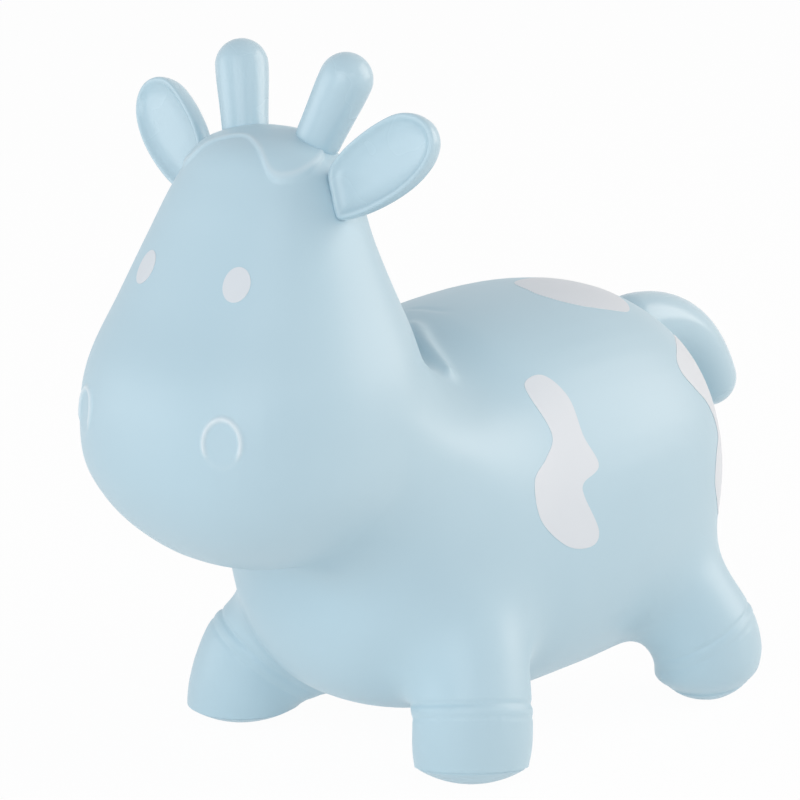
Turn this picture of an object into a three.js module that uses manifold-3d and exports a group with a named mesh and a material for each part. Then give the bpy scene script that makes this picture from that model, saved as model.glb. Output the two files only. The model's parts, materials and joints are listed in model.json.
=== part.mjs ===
// A bouncy animal hopper: an air-filled calf of soft vinyl that a small child sits on and holds by its horns.
// Millimetres. +Z is up, the calf faces -Y and its left side is +X. The soles stand on z = 0.

import * as THREE from "three";
import { LoftGeometry } from "three/addons/geometries/LoftGeometry.js";
import { mergeVertices } from "three/addons/utils/BufferGeometryUtils.js";
import Module from "manifold-3d";

const wasm = await Module();
wasm.setup();

// Walls and clearances
const SKIN = 1.6; // wall of the moulded vinyl
const GAP = 0.3; // between two pieces that meet
const SEAT_GAP = 0.5; // between a flexing root and the round seat it turns in
const PAINT = 0.5; // film of a painted mark
const RELIEF = 2.2; // height of the moulded forelock

// Trunk: a barrel lofted along Y from the chest to the rump
const TRUNK_LENGTH = 356;
const TRUNK_WIDTH = 248;
const TRUNK_FULLNESS = 2.2; // 2 gives elliptical sections, more makes them squarer
const SEAT_HEIGHT = 283;
const BELLY_HEIGHT = 19;
const CHEST_Y = -178;
// Rows from chest to rump: share of the length, of the half width, and of the height at back and at belly
const TRUNK_ROWS = [
  [0, 0, 0.36, 0.36],
  [0.028, 0.46, 0.6, 0.18],
  [0.121, 0.78, 0.805, 0.07],
  [0.298, 0.94, 0.957, 0.01],
  [0.531, 1, 1, 0.015],
  [0.725, 0.955, 0.985, 0.03],
  [0.851, 0.825, 0.915, 0.075],
  [0.935, 0.6, 0.82, 0.155],
  [0.983, 0.3, 0.69, 0.31],
  [1, 0, 0.5, 0.5],
];

// Head: a pear lofted upwards from the chin to the poll
const CHIN_HEIGHT = 142;
const HEAD_HEIGHT = 272;
const HEAD_WIDTH = 214;
const HEAD_DEPTH = 224;
const HEAD_FULLNESS = 2.4;
const NOSE_Y = -307;
// Rows from chin to poll: share of the height, of the half width, and of the depth at the neck and at the nose
const HEAD_ROWS = [
  [0, 0, 0.62, 0.62],
  [0.025, 0.445, 0.97, 0.3],
  [0.11, 0.765, 1, 0.12],
  [0.23, 0.96, 0.985, 0.016],
  [0.35, 1, 0.96, 0],
  [0.48, 0.96, 0.875, 0.037],
  [0.62, 0.83, 0.783, 0.135],
  [0.76, 0.685, 0.717, 0.223],
  [0.88, 0.55, 0.688, 0.294],
  [0.97, 0.36, 0.628, 0.364],
  [1, 0, 0.5, 0.5],
];

// Legs: short stubs with a banded ankle. The hoof turns level below it, down to a domed sole that the floor presses flat
const LEG_LENGTH = 125;
const LEG_RADIUS = 37.5;
const HIP_RADIUS = 26;
const ANKLE_HEIGHT = 42.5;
const HOOF_FLARE = 0.5; // of the hoof beyond the leg
const HOOF_RADIUS = LEG_RADIUS + HOOF_FLARE;
const HOOF_HEIGHT = 34;
const SOLE_DOME = 11;
const SOLE_FLAT = 2.5;
const BAND_HEIGHT = 8.5;
const GROOVE = 1.4;
// Each foot: the leg's splay in degrees outwards and lengthways, the places of the middles of its ankle and its sole
// as shares of the trunk's half width and length, and how far the edge of the sole is tucked inside the hoof. The
// soft legs do not all stand alike.
const FEET = {
  front_left: { side: 1, end: -1, out: 14, long: 14, ankle: [0.79, 0.173], sole: [0.752, 0.186], tuck: 2.5 },
  front_right: { side: -1, end: -1, out: 31, long: 30, ankle: [0.768, 0.172], sole: [0.8188, 0.16], tuck: 5 },
  rear_left: { side: 1, end: 1, out: 21, long: 23, ankle: [0.818, 0.818], sole: [0.768, 0.85], tuck: 13 },
  rear_right: { side: -1, end: 1, out: 21, long: 23, ankle: [0.818, 0.818], sole: [0.768, 0.85], tuck: 13 },
};

// Horns: the handles. Each stands on the poll and bends fore and aft about the ball of its root.
const HORN_LENGTH = 53; // from the ball's centre to the tip
const HORN_ROOT_RADIUS = 14.5;
const HORN_RADIUS = 16.5;
const HORN_ROUND = 25; // degrees around the head from its left side towards the neck
const HORN_UP = 0.915; // share of the head's rows, from chin to poll
const HORN_LIFT = 4.2; // of the ball's centre above the skin
const HORN_LEAN_OUT = 20;
const HORN_LEAN_BACK = 16;
const HORN_AIRWAY = 7;

// Ears: thick dished leaves on the sides of the poll
const EAR_LENGTH = 73; // from the ball's centre to the tip
const EAR_WIDTH = 49;
const EAR_THICKNESS = 20;
const EAR_DISH = 4;
const EAR_ROOT_RADIUS = 13.5;
const EAR_ROUND = 3;
const EAR_UP = 0.805;
const EAR_LIFT = 5;
const EAR_RISE = 27;
const EAR_SWEEP = 12;
const EAR_TILT = 9;
const EAR_AIRWAY = 5;
// Rows from root to tip: share of the length, of the half width, and of the thickness at back and at front
const EAR_ROWS = [
  [0, 0, 0.5, 0.5],
  [0.05, 0.68, 0.85, 0.15],
  [0.3, 0.92, 0.97, 0.03],
  [0.58, 1, 1, 0],
  [0.83, 0.86, 0.94, 0.06],
  [0.97, 0.43, 0.76, 0.24],
  [1, 0, 0.5, 0.5],
];

// Tail: a bent stub on the top of the rump that lifts about the ball of its root
const TAIL_RADIUS = 20;
const TAIL_REACH = 85;
const TAIL_DROP = 53;
const TAIL_BEND = 0.72; // share of the reach at which the tail turns down
const TAIL_UP = 0.77; // share of the trunk's rows, from chest to rump
const TAIL_LIFT = 1;
const TAIL_AIRWAY = 8;

// Face and coat: places are degrees around the head and shares of its rows, or shares of the trunk
const EYE_ROUND = 65;
const EYE_UP = 0.656;
const EYE_WIDTH = 18;
const EYE_HEIGHT = 22;
const NOSTRIL_ROUND = 60;
const NOSTRIL_UP = 0.424;
const NOSTRIL_RADIUS = 12;
const NOSTRIL_RIM = 1.9;
const NOSTRIL_OPEN = 80; // degrees of the rim left open below
// Half outline of the forelock seen from above: shares of the head's half width and depth
const FORELOCK = [
  [0, 0.41],
  [0.15, 0.385],
  [0.32, 0.352],
  [0.42, 0.38],
  [0.455, 0.44],
  [0.4, 0.52],
  [0.2, 0.57],
  [0, 0.58],
];
// Outlines of the patches: shares of the trunk's length and height, or of its half width and length on top
const FLANK_PATCH = [
  [0.354, 0.856],
  [0.396, 0.864],
  [0.421, 0.814],
  [0.421, 0.727],
  [0.441, 0.652],
  [0.399, 0.62],
  [0.399, 0.583],
  [0.43, 0.496],
  [0.413, 0.462],
  [0.354, 0.477],
  [0.292, 0.557],
  [0.286, 0.648],
  [0.325, 0.693],
  [0.354, 0.739],
  [0.345, 0.822],
];
const RUMP_PATCH = [
  [0.771, 0.835],
  [0.748, 0.802],
  [0.776, 0.753],
  [0.822, 0.696],
  [0.846, 0.624],
  [0.815, 0.574],
  [0.805, 0.514],
  [0.826, 0.458],
  [0.864, 0.4],
  [0.925, 0.43],
  [0.955, 0.55],
  [0.948, 0.68],
  [0.91, 0.78],
  [0.85, 0.85],
];
const BACK_PATCH = [
  [-0.04, 0.605],
  [0.15, 0.572],
  [0.28, 0.576],
  [0.4, 0.612],
  [0.469, 0.683],
  [0.466, 0.724],
  [0.356, 0.759],
  [0.15, 0.775],
  [-0.08, 0.72],
];

// Valve: a moulded seat low on the rump and the plug that shuts it
const VALVE_UP = 0.83; // share of the trunk's rows
const VALVE_BORE = 5;
const VALVE_NECK_RADIUS = 8;
const VALVE_NECK_LENGTH = 12;
const VALVE_FLANGE_RADIUS = 13;
const VALVE_FLANGE = 2;
const PLUG_RADIUS = 9;
const PLUG_HEAD = 2.2;
const PLUG_STEM_RADIUS = 4.5;
const PLUG_STEM_LENGTH = 11;
const PLUG_RIB = 0.3;

// Mesh counts
const TRUNK_MESH = [36, 26];
const HEAD_MESH = [36, 26];
const CAVITY_MESH = [18, 13];
const EAR_MESH = [16, 11];
const EAR_CAVITY_MESH = [12, 8];
const TAIL_MESH = [18, 12];
const LEG_SIDES = 20;
const HORN_SIDES = 18;
const BALL_SIDES = 20;
const VALVE_SIDES = 24;
const RIM_SIDES = 8;
const ARC_STEPS = 6;
const OUTLINE_STEPS = 32;

const FAR = 1000; // larger than the whole hopper

const vinyl = (color) => new THREE.MeshStandardMaterial({ color, roughness: 0.45, metalness: 0 });
const BLUE = vinyl(0xb5d6e6);
const WHITE = vinyl(0xe3e8ee);

const radians = THREE.MathUtils.degToRad;
const UP = new THREE.Vector3(0, 1, 0); // the long axis of every turned or lofted piece before it is placed

// Solids

// A closed geometry as a solid: shared vertices merged, faces that collapsed at a pole dropped.
function solid(geometry) {
  const bare = new THREE.BufferGeometry().setAttribute("position", geometry.getAttribute("position"));
  bare.setIndex(geometry.index);
  const merged = mergeVertices(bare, 1e-3);
  const corners = merged.index.array;
  const kept = [];
  for (let i = 0; i < corners.length; i += 3) {
    const [a, b, c] = corners.subarray(i, i + 3);
    if (a !== b && b !== c && c !== a) kept.push(a, b, c);
  }
  const vertProperties = merged.getAttribute("position").array;
  const made = new wasm.Manifold(
    new wasm.Mesh({ numProp: 3, vertProperties, triVerts: new Uint32Array(kept) }),
  );
  if (made.volume() <= 0) throw new Error("a solid is inside out");
  return made;
}

function geometryOf(made) {
  const { vertProperties, triVerts } = made.getMesh();
  const geometry = new THREE.BufferGeometry();
  geometry.setAttribute("position", new THREE.BufferAttribute(vertProperties, 3));
  geometry.setIndex(new THREE.BufferAttribute(triVerts, 1));
  return geometry;
}

// The same solid with every vertex moved out along its normal, or in where the distance is negative.
function grown(made, distance) {
  const geometry = geometryOf(made);
  geometry.computeVertexNormals();
  const place = geometry.getAttribute("position");
  const normal = geometry.getAttribute("normal");
  const vertex = new THREE.Vector3();
  const outward = new THREE.Vector3();
  for (let i = 0; i < place.count; i++) {
    vertex.fromBufferAttribute(place, i).addScaledVector(outward.fromBufferAttribute(normal, i), distance);
    place.setXYZ(i, vertex.x, vertex.y, vertex.z);
  }
  return solid(geometry);
}

const placed = (geometry, matrix) => solid(geometry.clone().applyMatrix4(matrix));
const joined = (solids) => solids.reduce((all, next) => all.add(next));
const cut = (made, cutters) => cutters.reduce((left, cutter) => left.subtract(cutter), made);
const ball = (radius, centre = new THREE.Vector3()) =>
  solid(new THREE.SphereGeometry(radius, BALL_SIDES, BALL_SIDES / 2).translate(...centre.toArray()));
const rod = (radius, from, to, sides) =>
  solid(new THREE.CylinderGeometry(radius, radius, to - from, sides).translate(0, (from + to) / 2, 0));

const turned = (points, sides) =>
  new THREE.LatheGeometry(points.map(([radius, height]) => new THREE.Vector2(radius, height)), sides);

// A turn that stands the long axis of a piece along a direction.
const along = (direction) => new THREE.Quaternion().setFromUnitVectors(UP, direction.clone().normalize());
const ONE = new THREE.Vector3(1, 1, 1);

// Lofted bodies

// A smooth reading of a table of rows, from 0 at its first row to 1 at its last, closing roundly at both ends.
function smoothTable(rows) {
  const beyond = ([step, width, high, low]) => [step, -width, low, high];
  const all = [beyond(rows[1]), ...rows, beyond(rows.at(-2))];
  const spline = new THREE.CubicInterpolant(
    all.map((_, i) => i - 1),
    all.flat(),
    all[0].length,
  );
  return (share) => [...spline.evaluate(share * (rows.length - 1))];
}

function loft(pointAt, [columns, rows]) {
  const sections = [];
  for (let i = 0; i <= rows; i++) {
    const section = [];
    for (let j = 0; j < columns; j++) section.push(pointAt((2 * Math.PI * j) / columns, i / rows));
    sections.push(section);
  }
  return solid(new LoftGeometry(sections));
}

// The place on a rounded square of unit half width at an angle around it.
function roundedSquare(angle, fullness) {
  const bulge = (value) => Math.sign(value) * Math.abs(value) ** (2 / fullness);
  return [bulge(Math.cos(angle)), bulge(Math.sin(angle))];
}

const between = (high, low, share) => (high + low) / 2 + ((high - low) / 2) * share;

const trunkX = (share) => (TRUNK_WIDTH / 2) * share;
const trunkY = (share) => CHEST_Y + TRUNK_LENGTH * share;
const trunkZ = (share) => BELLY_HEIGHT + (SEAT_HEIGHT - BELLY_HEIGHT) * share;
const headX = (share) => (HEAD_WIDTH / 2) * share;
const headY = (share) => NOSE_Y + HEAD_DEPTH * share;
const headZ = (share) => CHIN_HEIGHT + HEAD_HEIGHT * share;

// A point of the trunk: the angle runs from its left side over the belly, the share from chest to rump.
const trunkTable = smoothTable(TRUNK_ROWS);
function trunkPoint(angle, share) {
  const [step, width, back, belly] = trunkTable(share);
  const [across, down] = roundedSquare(angle, TRUNK_FULLNESS);
  return new THREE.Vector3(trunkX(width * across), trunkY(step), trunkZ(between(back, belly, -down)));
}

// A point of the head: the angle runs from its left side over the neck, the share from chin to poll.
const headTable = smoothTable(HEAD_ROWS);
function headPoint(angle, share) {
  const [step, width, neck, nose] = headTable(share);
  const [across, rear] = roundedSquare(angle, HEAD_FULLNESS);
  return new THREE.Vector3(headX(width * across), headY(between(neck, nose, rear)), headZ(step));
}

// The place and the outward direction of a lofted skin at an angle and a share.
function skinAt(pointAt, angle, share) {
  const step = 1e-3;
  const place = pointAt(angle, share);
  const round = pointAt(angle + step, share).sub(pointAt(angle - step, share));
  const onward = pointAt(angle, share + step).sub(pointAt(angle, share - step));
  return { place, normal: round.cross(onward).normalize() };
}

// The same place on the left (side 1) or the right (side -1) of the head.
const headAt = (side, degrees, share) =>
  skinAt(headPoint, side > 0 ? radians(degrees) : Math.PI - radians(degrees), share);

const lifted = ({ place, normal }, distance) => place.clone().addScaledVector(normal, distance);

const trunkOuter = loft(trunkPoint, TRUNK_MESH);
const trunkInner = grown(loft(trunkPoint, CAVITY_MESH), -SKIN);
const trunkClear = grown(trunkOuter, GAP);
const headOuter = loft(headPoint, HEAD_MESH);
const headInner = grown(loft(headPoint, CAVITY_MESH), -SKIN);
const headClear = grown(headOuter, GAP);

const SIDES = [
  [1, "left"],
  [-1, "right"],
];
const hopper = new THREE.Group();

function addMesh(name, made, material, parent = hopper) {
  const mesh = new THREE.Mesh(geometryOf(made), material);
  mesh.name = name;
  parent.add(mesh);
}

// A group at a pivot, turned to the piece it carries.
function addPivot(name, place, turn) {
  const pivot = new THREE.Group();
  pivot.name = name;
  pivot.position.copy(place);
  pivot.quaternion.copy(turn);
  hopper.add(pivot);
  return pivot;
}

// Legs and hooves: round about the leg's own axis, with height 0 at the edge of the sole

const BAND_TOP = HOOF_HEIGHT + BAND_HEIGHT;
const THIGH_TOP = (BAND_TOP + LEG_LENGTH) / 2;
const HOOF_TOP = HOOF_HEIGHT - GAP;
const LEVEL = new THREE.Vector3(0, 0, 1);
const floor = solid(new THREE.BoxGeometry(FAR, FAR, FAR).translate(0, 0, -FAR / 2));

function hoofProfile(tuck) {
  const points = [];
  const edge = HOOF_RADIUS - tuck;
  const curve = (edge ** 2 + SOLE_DOME ** 2) / (2 * SOLE_DOME);
  const half = Math.asin(edge / curve);
  for (let i = 0; i <= ARC_STEPS; i++) {
    const angle = (half * i) / ARC_STEPS;
    points.push([curve * Math.sin(angle), curve * (1 - Math.cos(angle)) - SOLE_DOME]);
  }
  points.push([HOOF_RADIUS - tuck / 4, HOOF_HEIGHT * 0.25], [HOOF_RADIUS, HOOF_HEIGHT * 0.5]);
  points.push([HOOF_RADIUS, HOOF_HEIGHT * 0.75], [HOOF_RADIUS - GROOVE, HOOF_TOP]);
  points.push([HOOF_RADIUS - GROOVE - SKIN, HOOF_TOP], [HOOF_RADIUS - SKIN, HOOF_HEIGHT * 0.5]);
  points.push([edge - SKIN, SKIN], [0, SKIN + SOLE_FLAT - SOLE_DOME]);
  return points;
}

function legProfile() {
  const ring = [
    [LEG_RADIUS - GROOVE, HOOF_HEIGHT],
    [LEG_RADIUS, HOOF_HEIGHT + BAND_HEIGHT * 0.35],
    [LEG_RADIUS, HOOF_HEIGHT + BAND_HEIGHT * 0.65],
    [LEG_RADIUS - GROOVE, BAND_TOP],
    [LEG_RADIUS, BAND_TOP + BAND_HEIGHT * 0.5],
    [LEG_RADIUS, THIGH_TOP],
    [HIP_RADIUS, LEG_LENGTH],
    [HIP_RADIUS - SKIN, LEG_LENGTH],
    [LEG_RADIUS - SKIN - GROOVE, THIGH_TOP],
    [LEG_RADIUS - SKIN - GROOVE, HOOF_HEIGHT],
  ];
  return [...ring, ring[0]];
}

// The bore that joins the air in a leg with the air in the trunk.
const boreProfile = () => [
  [0, THIGH_TOP - LEG_RADIUS],
  [LEG_RADIUS - SKIN - GROOVE, THIGH_TOP - LEG_RADIUS],
  [LEG_RADIUS - SKIN - GROOVE, THIGH_TOP],
  [HIP_RADIUS - SKIN, LEG_LENGTH],
  [0, LEG_LENGTH],
];

const footPlace = (side, [across, share], height) => new THREE.Vector3(side * trunkX(across), trunkY(share), height);

const legUpward = ({ side, end, out, long }) =>
  new THREE.Vector3(-side * Math.tan(radians(out)), -end * Math.tan(radians(long)), 1).normalize();

// The leg's axis passes through the middle of the ankle.
function legMatrix(foot) {
  const upward = legUpward(foot);
  const base = footPlace(foot.side, foot.ankle, ANKLE_HEIGHT).addScaledVector(upward, -HOOF_HEIGHT);
  return new THREE.Matrix4().compose(base, along(upward), ONE);
}

// A hoof: its top is square to the leg, and each ring below lies nearer level, down to the sole.
function hoofLoft(foot) {
  const profile = hoofProfile(foot.tuck);
  const upward = legUpward(foot);
  const square = along(upward);
  const level = new THREE.Quaternion().setFromUnitVectors(upward, LEVEL).multiply(square);
  const sole = footPlace(foot.side, foot.sole, SOLE_DOME - SOLE_FLAT);
  const top = footPlace(foot.side, foot.ankle, ANKLE_HEIGHT).addScaledVector(upward, -GAP);
  const pointAt = (angle, share) => {
    const [radius, height] = profile[Math.round(share * (profile.length - 1))];
    const up = THREE.MathUtils.clamp(height / HOOF_TOP, 0, 1);
    return new THREE.Vector3(radius * Math.sin(angle), Math.min(height, 0), radius * Math.cos(angle))
      .applyQuaternion(level.clone().slerp(square, up))
      .add(sole.clone().lerp(top, up));
  };
  return loft(pointAt, [LEG_SIDES, profile.length - 1]);
}

const legBores = [];
for (const [name, foot] of Object.entries(FEET)) {
  const matrix = legMatrix(foot);
  const leg = placed(turned(legProfile(), LEG_SIDES), matrix).subtract(trunkClear);
  legBores.push(placed(turned(boreProfile(), LEG_SIDES), matrix));
  addMesh(`leg_${name}`, leg, BLUE);
  addMesh(`hoof_${name}`, hoofLoft(foot).subtract(trunkClear).subtract(floor), BLUE);
}

// Horns: the round root, a swelling shaft and a round tip, hollow down to an airway in the root

function hornProfile(inset) {
  const points = [];
  const root = HORN_ROOT_RADIUS - inset;
  const tip = HORN_RADIUS - inset;
  const shoulder = HORN_LENGTH - HORN_RADIUS;
  for (let i = 0; i <= ARC_STEPS; i++) {
    const angle = (Math.PI / 2) * (i / ARC_STEPS);
    points.push([root * Math.sin(angle), -root * Math.cos(angle)]);
  }
  points.push([(root + tip) / 2 + GAP, shoulder / 2]);
  for (let i = 0; i <= ARC_STEPS; i++) {
    const angle = (Math.PI / 2) * (i / ARC_STEPS);
    points.push([tip * Math.cos(angle), shoulder + tip * Math.sin(angle)]);
  }
  return points;
}

const headSeats = [];
const horn = cut(solid(turned(hornProfile(0), HORN_SIDES)), [
  solid(turned(hornProfile(SKIN), HORN_SIDES / 2)),
  rod(HORN_AIRWAY, -HORN_LENGTH, 0, HORN_SIDES / 2),
]);
for (const [side, sideName] of SIDES) {
  const root = lifted(headAt(side, HORN_ROUND, HORN_UP), HORN_LIFT);
  const lean = new THREE.Vector3(
    side * Math.tan(radians(HORN_LEAN_OUT)),
    Math.tan(radians(HORN_LEAN_BACK)),
    1,
  );
  addMesh(`horn_${sideName}`, horn, BLUE, addPivot(`horn_${sideName}_pivot`, root, along(lean)));
  headSeats.push(ball(HORN_ROOT_RADIUS + SEAT_GAP, root));
}

// Ears: leaves lofted along their length, dished in front, hollow down to an airway in the root

const earTable = smoothTable(EAR_ROWS);
function earPoint(angle, share) {
  const [step, width, back, front] = earTable(share);
  const across = Math.cos(angle);
  const depth = between(back, front, Math.sin(angle)) - 0.5;
  const dish = Math.sin(angle) < 0 ? EAR_DISH * (1 - across ** 2) * Math.sin(Math.PI * share) : 0;
  return new THREE.Vector3((EAR_WIDTH / 2) * width * across, EAR_LENGTH * step, -EAR_THICKNESS * depth - dish);
}

const ear = cut(joined([loft(earPoint, EAR_MESH), ball(EAR_ROOT_RADIUS)]), [
  grown(loft(earPoint, EAR_CAVITY_MESH), -SKIN),
  rod(EAR_AIRWAY, -EAR_LENGTH, EAR_LENGTH / 3, EAR_CAVITY_MESH[0]),
]);
for (const [side, sideName] of SIDES) {
  const root = lifted(headAt(side, EAR_ROUND, EAR_UP), EAR_LIFT);
  const tipward = new THREE.Vector3(
    side * Math.cos(radians(EAR_RISE)),
    Math.sin(radians(EAR_SWEEP)),
    Math.sin(radians(EAR_RISE)),
  ).normalize();
  const facing = new THREE.Vector3(0, -Math.cos(radians(EAR_TILT)), Math.sin(radians(EAR_TILT)));
  const across = new THREE.Vector3().crossVectors(tipward, facing).normalize();
  facing.crossVectors(across, tipward);
  const turn = new THREE.Quaternion().setFromRotationMatrix(
    new THREE.Matrix4().makeBasis(across, tipward, facing),
  );
  addMesh(`ear_${sideName}`, ear, BLUE, addPivot(`ear_${sideName}_pivot`, root, turn));
  headSeats.push(ball(EAR_ROOT_RADIUS + SEAT_GAP, root));
}

// Tail: lofted along a bent line in the plane of symmetry, round at both ends

const TAIL_TOP = -Math.PI / 2; // the angle of the middle of the back
const tailLine = new THREE.QuadraticBezierCurve3(
  new THREE.Vector3(0, 0, 0),
  new THREE.Vector3(0, TAIL_REACH * TAIL_BEND, 0),
  new THREE.Vector3(0, TAIL_REACH, -TAIL_DROP),
);

// A round-ended tube around the tail's line: the first and the last third of the rows make the round ends.
function tailPoint(radius) {
  return (angle, share) => {
    const start = Math.max(0, 1 - 3 * share);
    const end = Math.max(0, 3 * share - 2);
    const t = THREE.MathUtils.clamp(3 * share - 1, 0, 1);
    const slant = Math.max(start, end) * (Math.PI / 2);
    const tangent = tailLine.getTangent(t);
    const side = new THREE.Vector3(1, 0, 0);
    const normal = new THREE.Vector3().crossVectors(tangent, side);
    return tailLine
      .getPoint(t)
      .addScaledVector(tangent, radius * Math.sin(slant) * (end > 0 ? 1 : -1))
      .addScaledVector(side, radius * Math.cos(slant) * Math.cos(angle))
      .addScaledVector(normal, radius * Math.cos(slant) * Math.sin(angle));
  };
}

const tail = cut(loft(tailPoint(TAIL_RADIUS), TAIL_MESH), [
  loft(tailPoint(TAIL_RADIUS - SKIN), TAIL_MESH),
  placed(new THREE.CylinderGeometry(TAIL_AIRWAY, TAIL_AIRWAY, TAIL_REACH, TAIL_MESH[0]),
    new THREE.Matrix4().makeTranslation(0, -TAIL_REACH / 2, 0)),
]);
const tailRoot = lifted(skinAt(trunkPoint, TAIL_TOP, TAIL_UP), TAIL_LIFT);
addMesh("tail", tail, BLUE, addPivot("tail_pivot", tailRoot, new THREE.Quaternion()));
const tailSeat = placed(
  geometryOf(loft(tailPoint(TAIL_RADIUS + SEAT_GAP), TAIL_MESH).add(ball(TAIL_RADIUS + SEAT_GAP))),
  new THREE.Matrix4().setPosition(tailRoot),
);

// Valve: a flanged seat through the skin and a ribbed plug in its bore

const valveSkin = skinAt(trunkPoint, Math.PI / 2, VALVE_UP);
const valveTurn = along(valveSkin.normal);
const valveMatrix = new THREE.Matrix4().compose(valveSkin.place, valveTurn, ONE);
const seatRing = [
  [VALVE_BORE, -VALVE_NECK_LENGTH],
  [VALVE_NECK_RADIUS, -VALVE_NECK_LENGTH],
  [VALVE_NECK_RADIUS, GAP],
  [VALVE_FLANGE_RADIUS, GAP],
  [VALVE_FLANGE_RADIUS - GAP, VALVE_FLANGE],
  [VALVE_BORE, VALVE_FLANGE],
];
const valveHole = placed(
  new THREE.CylinderGeometry(VALVE_NECK_RADIUS + GAP, VALVE_NECK_RADIUS + GAP, FAR / 10, VALVE_SIDES),
  valveMatrix,
);
const valveSeat = placed(turned([...seatRing, seatRing[0]], VALVE_SIDES), valveMatrix);
addMesh("valve_seat", valveSeat.subtract(trunkClear.subtract(valveHole)), BLUE);

const plugTop = VALVE_FLANGE + GAP;
const plugProfile = [
  [0, plugTop - PLUG_STEM_LENGTH],
  [PLUG_STEM_RADIUS - PLUG_RIB * 2, plugTop - PLUG_STEM_LENGTH],
  [PLUG_STEM_RADIUS - PLUG_RIB, plugTop - PLUG_STEM_LENGTH * 0.8],
  [PLUG_STEM_RADIUS, plugTop - PLUG_STEM_LENGTH * 0.6],
  [PLUG_STEM_RADIUS - PLUG_RIB, plugTop - PLUG_STEM_LENGTH * 0.5],
  [PLUG_STEM_RADIUS, plugTop - PLUG_STEM_LENGTH * 0.3],
  [PLUG_STEM_RADIUS - PLUG_RIB, plugTop],
  [PLUG_RADIUS, plugTop],
  [PLUG_RADIUS, plugTop + PLUG_HEAD / 2],
  [PLUG_RADIUS - PLUG_HEAD / 2, plugTop + PLUG_HEAD],
  [0, plugTop + PLUG_HEAD],
];
const plug = solid(turned(plugProfile, VALVE_SIDES));
addMesh("valve_plug", plug, BLUE, addPivot("valve_plug_pivot", valveSkin.place, valveTurn));

// Trunk and head: hollow skins that share one body of air

addMesh("trunk_shell", cut(trunkOuter, [trunkInner, headInner, tailSeat, valveHole, ...legBores]), BLUE);
addMesh("head_shell", cut(headOuter, [headInner, trunkClear, ...headSeats]), BLUE);

// Marks: a thin layer on a skin, kept where a prism of its outline passes through

const headPaint = grown(headOuter, GAP + PAINT).subtract(headClear);
const trunkPaint = grown(trunkOuter, GAP + PAINT).subtract(trunkClear);
const headRelief = grown(headOuter, GAP + RELIEF).subtract(headClear);

// A prism of a smooth closed outline in the plane of two axes, reaching from 0 to FAR along the third.
function prism(outline, toPlane) {
  const curve = new THREE.CatmullRomCurve3(outline.map(([a, b]) => new THREE.Vector3(a, b, 0)), true);
  const shape = new THREE.Shape(curve.getPoints(OUTLINE_STEPS).map(({ x, y }) => new THREE.Vector2(x, y)));
  return placed(new THREE.ExtrudeGeometry(shape, { depth: FAR, bevelEnabled: false, steps: 1 }), toPlane);
}

const X_AXIS = new THREE.Vector3(1, 0, 0);
const Y_AXIS = new THREE.Vector3(0, 1, 0);
const Z_AXIS = new THREE.Vector3(0, 0, 1);
const fromAbove = new THREE.Matrix4();
const fromLeft = new THREE.Matrix4().makeBasis(Y_AXIS, Z_AXIS, X_AXIS);
const fromRight = new THREE.Matrix4().makeBasis(Y_AXIS.clone().negate(), Z_AXIS, X_AXIS.clone().negate());

const sideOutline = (outline, side) => outline.map(([step, up]) => [side * trunkY(step), trunkZ(up)]);
addMesh("flank_patch_left", trunkPaint.intersect(prism(sideOutline(FLANK_PATCH, 1), fromLeft)), WHITE);
addMesh("flank_patch_right", trunkPaint.intersect(prism(sideOutline(FLANK_PATCH, -1), fromRight)), WHITE);
addMesh("rump_patch", trunkPaint.intersect(prism(sideOutline(RUMP_PATCH, 1), fromLeft)), WHITE);
const topOutline = BACK_PATCH.map(([across, step]) => [trunkX(across), trunkY(step)]);
const above = fromAbove.clone().setPosition(0, 0, trunkZ(0.5));
addMesh("back_patch", trunkPaint.intersect(prism(topOutline, above)), WHITE);

const halfLock = FORELOCK.map(([across, depth]) => [headX(across), headY(depth)]);
const otherHalf = halfLock.slice(1, -1).reverse().map(([x, y]) => [-x, y]);
const lockPrism = prism([...halfLock, ...otherHalf], fromAbove.clone().setPosition(0, 0, headZ(0.5)));
addMesh("forelock", cut(headRelief.intersect(lockPrism), headSeats), BLUE);

for (const [side, sideName] of SIDES) {
  const { place, normal } = headAt(side, -EYE_ROUND, EYE_UP);
  const oval = new THREE.CylinderGeometry(EYE_WIDTH / 2, EYE_WIDTH / 2, EYE_WIDTH, BALL_SIDES);
  const across = new THREE.Vector3().crossVectors(normal, Z_AXIS).normalize();
  const upward = new THREE.Vector3().crossVectors(across, normal);
  const frame = new THREE.Matrix4().makeBasis(across, normal, upward).setPosition(place);
  oval.scale(1, 1, EYE_HEIGHT / EYE_WIDTH);
  addMesh(`eye_${sideName}`, headPaint.intersect(placed(oval, frame)), WHITE);
}

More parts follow.
